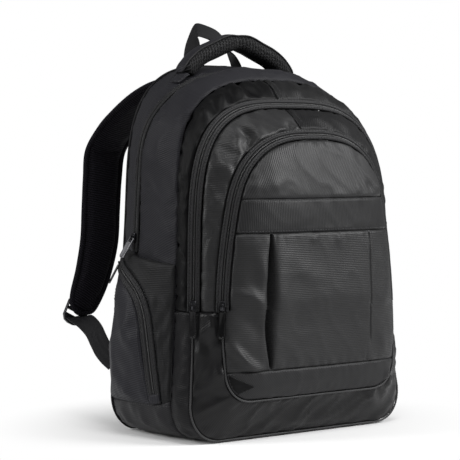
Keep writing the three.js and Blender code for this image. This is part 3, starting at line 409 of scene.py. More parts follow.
@dataclass(frozen=True)
class Relief:
    """How a panel's cloth rolls into its seams, puckers along them and creases between them."""

    seed: int
    roll: float = 2.2
    roll_width: float = 3.8
    pucker: float = 1.0
    pucker_reach: float = 12
    pucker_length: float = 14
    crease: float = 1.1
    crease_length: float = 62
    notch: float = 0
    notch_side: int = 0
    notch_spacing: float = 21
    notch_reach: float = 7
    folds: tuple[Fold, ...] = ()
    pucker_gain: float = 1.9
    crease_gain: float = 1.8
    fold_gain: float = 1.35

    def height(self, points: Points, u: Points, v: Points, gap: Points) -> Points:
        """Return how far each point of the cloth stands out.

        Args:
            points: The cloth's points.
            u: The place along the panel, in millimetres.
            v: The place across it.
            gap: The distance from the nearest seam.

        Returns:
            Heights in millimetres.
        """
        roll = -self.roll * (1 - np.clip(gap / self.roll_width, 0, 1)) ** 2
        near = np.exp(-gap / self.pucker_reach) * smooth(gap / 4)
        gather = gradient_noise((u + 0.35 * v) / self.pucker_length, (v - 0.2 * u) / 45, self.seed)
        fine = gradient_noise(u / (0.45 * self.pucker_length), v / 20, self.seed + 1)
        pucker = self.pucker * near * (1.7 * (np.abs(gather) ** 0.8 - 0.3) + 0.45 * fine)
        size = self.crease_length
        broad = gradient_noise(u / size + 3, v / size, self.seed + 2)
        cross = gradient_noise((u + 0.6 * v) / (0.55 * size), (v - 0.4 * u) / (0.9 * size), self.seed + 3)
        ridge = 1 - np.abs(cross)
        crease = self.crease * smooth(gap / 14) * (broad + 0.9 * (ridge ** 6 - 0.25))
        lift = roll + self.pucker_gain * pucker + self.crease_gain * crease
        lift = lift + self.fold_gain * sum(fold.lift(points) for fold in self.folds)
        return lift + self.notches(u, v) if self.notch else lift

    def notches(self, u: Points, v: Points) -> Points:
        """Return the short deep gathers square to one long edge of the panel."""
        edge = v if self.notch_side > 0 else v[-1:] - v
        lean = 0.35 * gradient_noise(u / 40, u * 0, self.seed + 5) * edge / self.notch_reach
        place = u / self.notch_spacing + 0.8 * gradient_noise(u / 33, u * 0 + 0.5, 7) + 0.25 * lean
        valley = np.exp(-(np.sin(np.pi * place) / 0.42) ** 2)
        size = 0.4 + 1.5 * gradient_noise(u / 31, u * 0 + 0.2, 9)
        swell = 0.55 * np.cos(2 * np.pi * place) * -1
        near = np.exp(-edge / self.notch_reach)
        return self.notch * near * (swell * np.clip(size, 0.2, 1) - 1.15 * np.clip(size, 0, 1.2) * valley)


class Weave(Enum):
    """The weaves of the bag's cloths."""

    RIB_LEVEL = "level ribs"
    RIB_UPRIGHT = "upright ribs"
    TWILL = "diagonal twill"
    PLAIN = "plain weave"
    SATIN = "satin"
    FINE_MESH = "fine mesh"
    AIR_MESH = "open hexagon mesh"
    WEBBING = "woven webbing"
    TAPE = "zip tape"


class Value:
    """A shader number whose Python operators add Math nodes."""

    def __init__(self, shader: "Shader", socket: Any) -> None:
        """Wrap a socket of the shader's tree."""
        self.shader, self.socket = shader, socket

    def __add__(self, other: Any) -> "Value":
        """Add."""
        return self.shader.math("ADD", self, other)

    def __sub__(self, other: Any) -> "Value":
        """Subtract."""
        return self.shader.math("SUBTRACT", self, other)

    def __rsub__(self, other: Any) -> "Value":
        """Subtract from a number."""
        return self.shader.math("SUBTRACT", other, self)

    def __mul__(self, other: Any) -> "Value":
        """Multiply."""
        return self.shader.math("MULTIPLY", self, other)

    def __truediv__(self, other: Any) -> "Value":
        """Divide."""
        return self.shader.math("DIVIDE", self, other)

    def __pow__(self, other: Any) -> "Value":
        """Raise to a power."""
        return self.shader.math("POWER", self, other)

    __radd__, __rmul__ = __add__, __mul__

    def wave(self) -> "Value":
        """Return a sine of the value, from 0 to 1 and once a unit."""
        return self.shader.math("SINE", self * (2 * math.pi)) * 0.5 + 0.5

    def between(self, low: float, high: float) -> "Value":
        """Return 0 below low and 1 above high."""
        settings = {"interpolation_type": "SMOOTHSTEP", "clamp": True}
        links = {"Value": self, "From Min": low, "From Max": high}
        return Value(self.shader, self.shader.node("ShaderNodeMapRange", settings, links).outputs[0])


class Shader:
    """A material's node tree, with one method that adds any node."""

    def __init__(self, name: str) -> None:
        """Start an empty material."""
        self.material = bpy.data.materials.new(name)
        self.material.use_nodes = True
        self.tree = self.material.node_tree
        self.tree.nodes.clear()

    def node(self, kind: str, settings: dict[str, Any] | None = None, links: dict[Any, Any] | None = None) -> Any:
        """Add a node.

        Args:
            kind: The node's type.
            settings: Properties that are set first.
            links: Values or links of its sockets, by name or number.

        Returns:
            The node.
        """
        node = self.tree.nodes.new(kind)
        for name, value in (settings or {}).items():
            setattr(node, name, value)
        for name, value in (links or {}).items():
            target = node.inputs[name]
            if isinstance(value, Value):
                self.tree.links.new(value.socket, target)
            elif isinstance(value, bpy.types.NodeSocket):
                self.tree.links.new(value, target)
            else:
                target.default_value = value
        return node

    def math(self, operation: str, *values: Any) -> Value:
        """Return the result of a Math node."""
        node = self.node("ShaderNodeMath", {"operation": operation}, dict(enumerate(values)))
        return Value(self, node.outputs[0])

    def mix(self, share: Any, low: Any, high: Any) -> Any:
        """Return the socket of two colours mixed by a share."""
        node = self.node("ShaderNodeMix", {"data_type": "RGBA"}, {0: share, 6: low, 7: high})
        return node.outputs[2]

    def noise(self, vector: Any, scale: float, detail: float = 3, rough: float = 0.55) -> Value:
        """Return a noise of the vector."""
        links = {"Vector": vector, "Scale": scale, "Detail": detail, "Roughness": rough}
        return Value(self, self.node("ShaderNodeTexNoise", None, links).outputs["Fac"])

    def stretched(self, vector: Any, scale: tuple[float, float, float]) -> Any:
        """Return the vector multiplied along its axes."""
        node = self.node("ShaderNodeVectorMath", {"operation": "MULTIPLY"}, {0: vector, 1: scale})
        return node.outputs[0]

    def axes(self, vector: Any) -> tuple[Value, Value, Value]:
        """Return the three numbers of a vector."""
        node = self.node("ShaderNodeSeparateXYZ", None, {0: vector})
        return tuple(Value(self, output) for output in node.outputs)

    def finish(self, colour: Any, rough: Any, height: Value, depth: float, constants: dict[str, Any]) -> Any:
        """Close the tree with one principled shader and return the material."""
        bump = self.node("ShaderNodeBump", None, {"Strength": 1.0, "Distance": depth * MM, "Height": height})
        links = {"Base Color": colour, "Roughness": rough, **constants, "Normal": bump.outputs[0]}
        shader = self.node("ShaderNodeBsdfPrincipled", None, links)
        self.node("ShaderNodeOutputMaterial", None, {"Surface": shader.outputs[0]})
        return self.material


@dataclass(frozen=True)
class ClothFinish:
    """A woven finish, drawn on the piece's own UV map, which is in metres."""

    name: str
    weave: Weave
    colour: tuple[float, float, float]
    pitch: float = 1.5
    depth: float = 0.16
    rough: float = 0.6
    sheen: float = 0.01
    streak: float = 0.14
    wear: float = 0.12
    gloss: float = 0.28
    contrast: float = 0.3
    shade: float = 0.5
    lines: tuple[float, float] = (0.7, 0.7)

    def pattern(self, shader: Shader, u: Value, v: Value) -> Value:
        """Return the height of the threads.

        Args:
            shader: The material's tree.
            u: The place along the cloth, in threads.
            v: The place across it, in threads.

        Returns:
            Heights from 0 to 1.
        """
        if self.weave is Weave.TAPE:
            along, across = v * self.pitch / 4.6, u * self.pitch
            cord = (shader.math("ABSOLUTE", across - 10) - 5.6).between(0.0, 0.5) \
                * (9.0 - shader.math("ABSOLUTE", across - 10)).between(0.0, 0.5)
            return 0.6 + v.wave() * 0.25 - (along + across * 0.12).wave().between(0.8, 1.0) * cord * 1.2
        if self.weave in (Weave.RIB_LEVEL, Weave.RIB_UPRIGHT):
            long, cross = (v, u) if self.weave is Weave.RIB_LEVEL else (u, v)
            return long.wave() * 0.75 + (cross * 1.7 + shader.math("FLOOR", long) * 0.5).wave() * 0.25
        if self.weave is Weave.TWILL:
            a, b = self.lines
            return (u * a + v * b).wave() * 0.8 + (u * (1.9 * b) - v * (1.9 * a)).wave() * 0.2
        if self.weave is Weave.PLAIN:
            return u.wave() * v.wave() + (1 - u.wave()) * (1 - v.wave())
        if self.weave is Weave.SATIN:
            return (u * 0.5 + v * 2).wave() * 0.6 + (u * 2).wave() * 0.4
        if self.weave is Weave.FINE_MESH:
            return (v + u * 0.12).wave() * 0.75 + (u * 1.6 + shader.math("FLOOR", v) * 0.5).wave() * 0.25
        if self.weave is Weave.WEBBING:
            chevron = shader.math("PINGPONG", u, 2.0)
            return (v + chevron * 0.5).wave() * 0.7 + (u * 1.0).wave() * 0.3
        cells = shader.node("ShaderNodeCombineXYZ", None, {0: u, 1: v * 1.1547 + shader.math("FLOOR", u) * 0.5})
        links = {"Vector": cells.outputs[0], "Scale": 1.0, "Randomness": 0.0}
        settings = {"feature": "DISTANCE_TO_EDGE", "voronoi_dimensions": "2D"}
        rim = Value(shader, shader.node("ShaderNodeTexVoronoi", settings, links).outputs[0])
        return 1 - rim.between(0.1, 0.26)

    def material(self) -> Any:
        """Return the finished material."""
        shader = Shader(self.name)
        map_node = shader.node("ShaderNodeUVMap", {"uv_map": CLOTH_MAP})
        place = map_node.outputs[0]
        scale = 1 / (self.pitch * MM)
        u, v, _ = shader.axes(shader.stretched(place, (scale, scale, scale)))
        threads = self.pattern(shader, u, v)
        object_place = shader.node("ShaderNodeTexCoord").outputs["Object"]
        clouds = shader.noise(object_place, 14, 4)
        along = (500, 26, 1) if self.weave is Weave.RIB_UPRIGHT else (26, 500, 1)
        yarn = shader.noise(shader.stretched(place, along), 1, 3, 0.6)
        light = 1 + (threads - 0.5) * self.contrast + (yarn - 0.5) * (2 * self.streak) + (clouds - 0.5) * self.wear
        dark = tuple(self.shade * c for c in self.colour) + (1,)
        bright = tuple(min(1.5 * c, 1) for c in self.colour) + (1,)
        colour = shader.mix((light - 0.5).between(0.0, 1.0), dark, bright)
        rough = self.rough + (clouds - 0.5) * 0.22 + (0.5 - threads) * 0.1
        height = threads + (yarn - 0.5) * 0.35
        constants = {"Sheen Weight": self.sheen, "Sheen Roughness": 0.45, "Specular IOR Level": self.gloss}
        return shader.finish(colour, rough, height, self.depth, constants)


@dataclass(frozen=True)
class HardFinish:
    """Moulded plastic or plated metal, drawn on Object coordinates."""

    name: str
    colour: tuple[float, float, float]
    rough: float
    metallic: float
    grain: float = 0.02
    gloss: float = 0.5

    def material(self) -> Any:
        """Return the finished material."""
        shader = Shader(self.name)
        place = shader.node("ShaderNodeTexCoord").outputs["Object"]
        clouds, specks = shader.noise(place, 60, 3), shader.noise(place, 1800, 2)
        dark, bright = tuple(0.75 * c for c in self.colour) + (1,), tuple(1.25 * c for c in self.colour) + (1,)
        colour = shader.mix(clouds.between(0.25, 0.75), dark, bright)
        rough = self.rough + (clouds - 0.5) * 0.18 + (specks - 0.5) * 0.08
        constants = {"Metallic": self.metallic, "Specular IOR Level": self.gloss}
        return shader.finish(colour, rough, specks, self.grain, constants)


class Finishes:
    """Every finish of the bag, each made into a material once."""

    def __init__(self) -> None:
        """Make the materials."""
        w = Weave
        cloths = [
            ClothFinish("gusset_cloth", w.TWILL, (0.0150, 0.0148, 0.0180), 2.7, 0.2, 0.55, 0.01, gloss=0.15,
                        contrast=1.0, shade=0.4, lines=(0.96, -0.29)),
            ClothFinish("twill_cloth", w.TWILL, (0.0075, 0.0075, 0.0080), 2.2, 0.2, 0.47, 0.01, gloss=0.17,
                        contrast=0.9, lines=(0.8, 0.6)),
            ClothFinish("hem_cloth", w.TWILL, (0.0150, 0.0150, 0.0158), 2.3, 0.16, 0.5, 0.01, gloss=0.2,
                        contrast=0.5, lines=(0.87, -0.49)),
            ClothFinish("dome_cloth", w.TWILL, (0.0205, 0.0205, 0.0212), 2.4, 0.2, 0.47, 0.02, gloss=0.24,
                        contrast=0.55, lines=(0.87, -0.49)),
            ClothFinish("ribbed_cloth", w.RIB_LEVEL, (0.0170, 0.0170, 0.0176), 2.2, 0.2, 0.45, 0.01, gloss=0.24,
                        contrast=0.45),
            ClothFinish("panel_cloth", w.RIB_UPRIGHT, (0.0150, 0.0150, 0.0156), 2.2, 0.18, 0.4, 0.01, 0.22,
                        gloss=0.26, contrast=0.45),
            ClothFinish("band_cloth", w.RIB_UPRIGHT, (0.0170, 0.0170, 0.0176), 2.4, 0.18, 0.45, 0.01, gloss=0.18,
                        contrast=0.5),
            ClothFinish("lower_satin", w.TWILL, (0.0064, 0.0063, 0.0068), 2.4, 0.14, 0.34, 0.0, 0.12, gloss=0.22,
                        contrast=0.6, lines=(0.8, 0.6)),
            ClothFinish("deep_satin", w.SATIN, (0.0036, 0.0036, 0.0039), 1.4, 0.08, 0.34, 0.0, 0.2, gloss=0.09),
            ClothFinish("gusset_satin", w.TWILL, (0.0078, 0.0076, 0.0084), 2.2, 0.14, 0.42, 0.0, 0.1, gloss=0.12,
                        contrast=0.5, lines=(0.96, 0.29)),
            ClothFinish("pocket_cloth", w.TWILL, (0.0145, 0.0144, 0.0180), 2.6, 0.16, 0.52, 0.01, gloss=0.16,
                        contrast=0.8, lines=(0.29, 0.96)),
            ClothFinish("pocket_front_cloth", w.RIB_LEVEL, (0.0110, 0.0110, 0.0116), 2.2, 0.2, 0.5, 0.01,
                        gloss=0.13, contrast=0.5),
            ClothFinish("boot_cloth", w.TWILL, (0.0145, 0.0143, 0.0158), 2.2, 0.14, 0.5, 0.01, gloss=0.17,
                        contrast=0.5, lines=(0.96, 0.29)),
            ClothFinish("strap_mesh", w.FINE_MESH, (0.0080, 0.0072, 0.0100), 3.0, 0.6, 0.8, 0.0, gloss=0.08,
                        contrast=1.4, shade=0.2),
            ClothFinish("air_mesh", w.AIR_MESH, (0.0150, 0.0150, 0.0158), 5.0, 2.2, 0.6, 0.0, gloss=0.14,
                        contrast=1.6, shade=0.02),
            ClothFinish("webbing", w.WEBBING, (0.0068, 0.0068, 0.0078), 1.8, 0.3, 0.55, 0.01, gloss=0.15),
            ClothFinish("zip_tape", w.TAPE, (0.0125, 0.0125, 0.0132), 1.2, 0.3, 0.5, 0.01, gloss=0.2,
                        contrast=0.9),
            ClothFinish("piping", w.TWILL, (0.0300, 0.0300, 0.0310), 1.0, 0.1, 0.45, 0.02),
            ClothFinish("lining", w.PLAIN, (0.0061, 0.0061, 0.0068), 1.0, 0.05, 0.7, 0.0),
        ]
        hards = [
            HardFinish("thread", (0.0190, 0.0190, 0.0209), 0.45, 0),
            HardFinish("coil_nylon", (0.0076, 0.0076, 0.0080), 0.3, 0),
            HardFinish("black_plastic", (0.0030, 0.0030, 0.0032), 0.14, 0, gloss=0.2),
            HardFinish("mid_plastic", (0.0070, 0.0068, 0.0074), 0.2, 0, gloss=0.25),
            HardFinish("lock_plastic", (0.0114, 0.0114, 0.0133), 0.3, 0),
            HardFinish("dark_metal", (0.0420, 0.0420, 0.0460), 0.16, 0.9),
            HardFinish("grey_pull", (0.0950, 0.0950, 0.1026), 0.35, 0.3),
        ]
        self.named = {finish.name: finish.material() for finish in [*cloths, *hards]}

    def __getitem__(self, name: str) -> Any:
        """Return the material of that name."""
        return self.named[name]


def set_cloth_map(mesh: Any, uv: Points) -> None:
    """Write the Cloth map of a mesh, in metres, from each vertex's place on the cloth in millimetres."""
    layer = mesh.uv_layers.get(CLOTH_MAP) or mesh.uv_layers.new(name=CLOTH_MAP)
    corners = np.zeros(len(mesh.loops), np.int32)
    mesh.loops.foreach_get("vertex_index", corners)
    layer.data.foreach_set("uv", (uv[corners] * MM).astype(np.float32).ravel())


def vertices(piece: Any) -> Points:
    """Return the places of a piece's vertices, in metres."""
    return np.array([vertex.co for vertex in piece.data.vertices])


def make_mesh(name: str, points: Points, faces: Sequence[Sequence[int]], uv: Points | None = None) -> Any:
    """Make a closed object, with its faces turned outwards, from points in millimetres.

    Args:
        name: The piece's name.
        points: Its vertices, one a row.
        faces: Its faces, as rows of vertex numbers.
        uv: The place of each vertex on the cloth, in millimetres.

    Returns:
        The object, linked to the scene.
    """
    mesh = bpy.data.meshes.new(name)
    mesh.from_pydata((points * MM).tolist(), [], [list(map(int, face)) for face in faces])
    set_cloth_map(mesh, points[:, :2] if uv is None else uv)
    shape = bmesh.new()
    shape.from_mesh(mesh)
    bmesh.ops.remove_doubles(shape, verts=shape.verts, dist=MERGE_GAP)
    bmesh.ops.dissolve_degenerate(shape, edges=shape.edges, dist=SLIVER)
    bmesh.ops.recalc_face_normals(shape, faces=shape.faces)
    if shape.calc_volume(signed=True) < 0:
        bmesh.ops.reverse_faces(shape, faces=shape.faces)
    shape.to_mesh(mesh)
    shape.free()
    mesh.shade_smooth()
    piece = bpy.data.objects.new(name, mesh)
    bpy.context.scene.collection.objects.link(piece)
    return piece


def closed_between(name: str, outer: Points, inner: Points, u: Points, v: Points, flip: bool = False) -> Any:
    """Make a closed piece between two grids of points.

    Args:
        name: The piece's name.
        outer: The grid of its outer points.
        inner: The grid of its inner points.
        u: The place along the cloth.
        v: The place across it.
        flip: Whether the grid's faces are wound the other way.

    Returns:
        The object.
    """
    rows, columns = outer.shape[:2]
    faces, count = grid_faces(rows, columns), rows * columns
    if flip:
        faces = [face[::-1] for face in faces]
    back = [[i + count for i in face[::-1]] for face in faces]
    rim = [r * columns for r in range(rows)] + [(rows - 1) * columns + c for c in range(1, columns)]
    rim += [r * columns + columns - 1 for r in range(rows - 2, -1, -1)] + list(range(columns - 2, 0, -1))
    sides = [[a, b, b + count, a + count] for a, b in zip(rim, rim[1:] + rim[:1])]
    uv = np.stack([u.ravel(), v.ravel()], 1)
    points = np.concatenate([outer.reshape(-1, 3), inner.reshape(-1, 3)])
    return make_mesh(name, points, faces + back + sides, np.concatenate([uv, uv]))


def grid_faces(rows: int, columns: int, wrap_rows: bool = False, wrap_columns: bool = False) -> list[list[int]]:
    """Return the faces of a grid of points, counted row by row."""
    r, c = np.arange(rows if wrap_rows else rows - 1), np.arange(columns if wrap_columns else columns - 1)
    rr, cc = (axis.ravel() for axis in np.meshgrid(r, c, indexing="ij"))
    r2, c2 = (rr + 1) % rows, (cc + 1) % columns
    return np.stack([rr * columns + cc, rr * columns + c2, r2 * columns + c2, r2 * columns + cc], 1).tolist()


def grid_normals(points: Points, centre: Points) -> Points:
    """Return the directions out of a grid of points, away from a centre."""
    normal = unit(np.cross(np.gradient(points, axis=1), np.gradient(points, axis=0)))
    away = ((points - centre) * normal).sum(-1)
    return normal if np.median(away) > 0 else -normal


def select_only(piece: Any) -> None:
    """Select one object and make it the active one."""
    bpy.ops.object.select_all(action="DESELECT")
    piece.select_set(True)
    bpy.context.view_layer.objects.active = piece


def apply_modifier(piece: Any, kind: str, **settings: Any) -> None:
    """Add a modifier to the piece and apply it."""
    select_only(piece)
    modifier = piece.modifiers.new(kind.lower(), kind)
    for name, value in settings.items():
        setattr(modifier, name, value)
    bpy.ops.object.modifier_apply(modifier=modifier.name)


@dataclass
class Workshop:
    """What every sub-assembly needs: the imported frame, the finishes and the marks put on a piece."""

    frame: dict[str, Any]
    finishes: Finishes
    pull_reach: float = 7
    pull_fade: float = 1.7
    pull_bed: float = -0.6

    def under_pulls(self, points: Points, lift: Points) -> Points:
        """Return the lift of the cloth, pressed flat where a pull lies on it.

        Args:
            points: The cloth's points.
            lift: How far each one stands out.

        Returns:
            The lift, never above the panel's own form under a pull.
        """
        for node, piece in self.frame["nodes"].items():
            if not node.endswith("_pull") and "_pull_" not in node:
                continue
            corners = vertices(piece) / MM
            middle = corners.mean(0)
            way = np.linalg.svd(corners - middle, full_matrices=False)[2][0]
            half = np.abs((corners - middle) @ way).max()
            k = np.clip((points - middle) @ way, -half, half)
            gap = np.linalg.norm(points - (middle + k[..., None] * way), axis=-1)
            under = smooth(self.pull_fade - gap / self.pull_reach)
            lift = lerp(lift, np.minimum(lift, self.pull_bed), under)
        return lift

    def dress(self, piece: Any, finish: str, slot: str, replaced: Sequence[str] = (), body: str = BAG) -> Any:
        """Give a piece its material and its body, and hide the nodes that it stands for."""
        piece.data.materials.clear()
        piece.data.materials.append(self.finishes[finish])
        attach(piece, body)
        if replaced:
            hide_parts(*replaced)
        return piece

    def sheet(self, name: str, points: Points, u: Points, v: Points, wall: float = 1.5,
              centre: Points = BODY_HEART) -> Any:
        """Make a panel of cloth with a wall from a grid of its outer points.

        Args:
            name: The piece's name.
            points: The grid of outer points.
            u: The place along the cloth.
            v: The place across it.
            wall: The cloth's thickness.
            centre: A point that the outer side faces away from.

        Returns:
            The object.
        """
        outward = grid_normals(points, centre)
        flip = (np.cross(np.gradient(points, axis=1), np.gradient(points, axis=0)) * outward).sum() > 0
        return closed_between(name, points, points - outward * wall, u, v, flip)

    def ringed(self, name: str, rings: Points, around: Points, finish: str, slot: str,
               replaced: Sequence[str] = (), turned: bool = False) -> Any:
        """Make a closed cord or band from its rings, and dress it.

        Args:
            name: The piece's name.
            rings: Its rings of points, one row each.
            around: The place of each point round a ring, on the cloth.
            finish: Its material.
            slot: The record's slot.
            replaced: The nodes that it stands for.
            turned: Whether the cloth's first direction runs round the rings.

        Returns:
            The piece.
        """
        length = arc_length(rings, 0)
        uv = [length.ravel(), np.broadcast_to(around, length.shape).ravel()]
        piece = make_mesh(name, rings.reshape(-1, 3), capped_faces(*rings.shape[:2]),
                          np.stack(uv[::-1] if turned else uv, 1))
        return self.dress(piece, finish, slot, replaced)

    def ribbon(self, name: str, path: Points, across: Points, width: float, wall: float, node: str,
               aslant: bool = False) -> Any:
        """Make a flat band of webbing with rounded selvedges along a path.

        Args:
            name: The piece's name.
            path: Its centre line.
            across: The direction of its width at each point.
            width: Its width.
            wall: Its thickness.
            node: The node that it stands for.
            aslant: Whether its width keeps its direction where that isn't square to the path.

        Returns:
            The object.
        """
        along = unit(np.gradient(path, axis=0))
        side = unit(across if aslant else across - along * (across * along).sum(1, keepdims=True))
        out = unit(np.cross(side, along))
        edge = np.array([(-1, 0.12), (-0.985, 0.38), (-0.93, 0.5), (-0.82, 0.47), (-0.4, 0.5)])
        half = np.concatenate([edge, [(0, 0.48)], edge[::-1] * [-1, 1]])
        section = np.concatenate([half, half[::-1] * [1, -1]])
        rings = path[:, None] + side[:, None] * (section[:, 0] * width / 2)[None, :, None] \
            + out[:, None] * (section[:, 1] * wall)[None, :, None]
        return self.ringed(name, rings, section[:, 0] * width / 2, "webbing", "webbing", [node], turned=True)


def arc_length(points: Points, axis: int) -> Points:
    """Return the length along a grid of points, from its first row or column."""
    steps = np.linalg.norm(np.diff(points, axis=axis), axis=-1)
    total = np.cumsum(steps, axis=axis)
    return np.concatenate([np.zeros_like(np.take(total, [0], axis=axis)), total], axis=axis)


def tube(points: Points, radius: Points, around: int, ups: Points, twist: float = 0, lobes: int = 0) -> Points:
    """Return the rings of a tube along a path.

    Args:
        points: The path.
        radius: The radii across and out of the surface, one pair or one pair a point.
        around: The points of each ring.
        ups: The direction out of the surface at each point.
        twist: Turns of the section for each millimetre.
        lobes: Strands of a twisted cord, or 0 for a plain section.

    Returns:
        An array of rings of points.
    """
    along = unit(np.gradient(points, axis=0))
    across = unit(np.cross(along, ups))
    out = np.cross(across, along)
    length = arc_length(points, 0)
    angle = np.arange(around) * 2 * np.pi / around
    radius = np.broadcast_to(np.asarray(radius, float), (len(points), 2))
    swell = 1 + (0.22 * np.cos(lobes * (angle[None] - 2 * np.pi * twist * length[:, None])) if lobes else 0)
    cos, sin = np.cos(angle)[None] * swell, np.sin(angle)[None] * swell
    ring = across[:, None] * (radius[:, :1] * cos)[..., None] + out[:, None] * (radius[:, 1:] * sin)[..., None]
    return points[:, None] + ring


def capped_faces(rings: int, around: int) -> list[list[int]]:
    """Return the faces of a closed tube of rings, with one flat face at each end."""
    faces = grid_faces(rings, around, wrap_columns=True)
    return faces + [list(range(around))[::-1], [(rings - 1) * around + j for j in range(around)]]


@dataclass
class Sewing:
    """Thread and piping that follow a seam."""

    shop: Workshop
    length: float = 3.0
    gap: float = 1.1
    radius: float = 0.36
    cord_twist: float = 0.16
    cord_strands: int = 2

    def stitches(self, name: str, cloth: Points, normals: Points, picks: Sequence[Any], slot: str) -> None:
        """Lay rows of stitches on the cloth, as one piece.

        Args:
            name: The piece's name, before the word stitches.
            cloth: The grid of the cloth's outer points.
            normals: The direction out of the cloth at each of them.
            picks: The rows or columns of the grid that are stitched, which may be none.
            slot: The record's slot.
        """
        if not picks:
            return
        profile = np.array([[-0.5, -0.25], [-0.36, 0.75], [0, 1.0], [0.36, 0.75], [0.5, -0.25]])
        angle = np.arange(STITCH_SIDES) * 2 * np.pi / STITCH_SIDES
        blocks, faces, base = [], [], 0
        pattern = np.array(stitch_faces(len(profile)))
        for pick in picks:
            path, up = cloth[pick], normals[pick]
            reach = arc_length(path, 0)
            count = max(int(reach[-1] / (self.length + self.gap)), 1)
            centres = (np.arange(count) + 0.5) * reach[-1] / count
            place = rows_at(path, reach, centres)
            along = unit(rows_at(path, reach, centres + 1) - rows_at(path, reach, centres - 1))
            out = unit(rows_at(up, reach, centres))
            across = unit(np.cross(along, out))
            rings = []
            for shift, rise in profile:
                lift = self.radius * (0.35 + 0.65 * max(rise, 0))
                ring = place[:, None] + along[:, None] * (shift * self.length)
                ring = ring + across[:, None] * (lift * np.cos(angle))[None, :, None]
                height = lift * np.sin(angle) + 0.5 * rise * self.radius
                rings.append(ring + out[:, None] * height[None, :, None])
            blocks.append(np.stack(rings, 1).reshape(-1, 3))
            offset = base + np.arange(count) * len(profile) * STITCH_SIDES
            faces.extend((pattern[None] + offset[:, None, None]).reshape(-1, 4).tolist())
            base += len(blocks[-1])
        self.shop.dress(make_mesh(f"{name}_stitches", np.concatenate(blocks), faces), "thread", slot)

    def piping(self, name: str, path: Points, ups: Points, radius: float, finish: str, slot: str) -> Any:
        """Lay a twisted cord along a seam and return it."""
        rings = tube(path, (radius, radius), 10, ups, self.cord_twist, self.cord_strands)
        return self.shop.ringed(name, rings, np.arange(10.0), finish, slot)


def stitch_faces(rings: int) -> list[list[int]]:
    """Return the faces of a stitch, whose rings of six points are closed with two quads at each end."""
    last = (rings - 1) * STITCH_SIDES
    ends = [[3, 2, 1, 0], [5, 4, 3, 0], [last, last + 1, last + 2, last + 3], [last, last + 3, last + 4, last + 5]]
    return grid_faces(rings, STITCH_SIDES, wrap_columns=True) + ends


def rows_at(rows: Points, length: Points, place: Points) -> Points:
    """Return the rows of a path at places along it, from the length at which each row stands."""
    return np.stack([np.interp(place, length, column) for column in rows.T], 1)


def resample(path: Points, step: float) -> Points:
    """Return a polyline with its points a step apart."""
    length = arc_length(path, 0)
    return rows_at(path, length, np.linspace(0, length[-1], max(int(length[-1] / step), 2) + 1))


def rim_distance(grid: Points) -> Points:
    """Return the distance of each point of a grid from the grid's rim."""
    return edge_distance(grid, [resample(edge, 1.2) for edge in (grid[0], grid[-1], grid[:, 0], grid[:, -1])])


def spline(knots: Points, count: int) -> Points:
    """Return a smooth curve through knots.

    Args:
        knots: Rows of numbers, which may hold more than a point.
        count: Steps between two knots.

    Returns:
        The rows of the curve.
    """
    padded = np.concatenate([[2 * knots[0] - knots[1]], knots, [2 * knots[-1] - knots[-2]]])
    rows = []
    for i in range(1, len(padded) - 2):
        a, b, c, d = padded[i - 1:i + 3]
        for k in np.arange(count) / count:
            rows.append(0.5 * (2 * b + (c - a) * k + (2 * a - 5 * b + 4 * c - d) * k ** 2
                               + (3 * b - a - 3 * c + d) * k ** 3))
    rows.append(knots[-1])
    return np.array(rows)


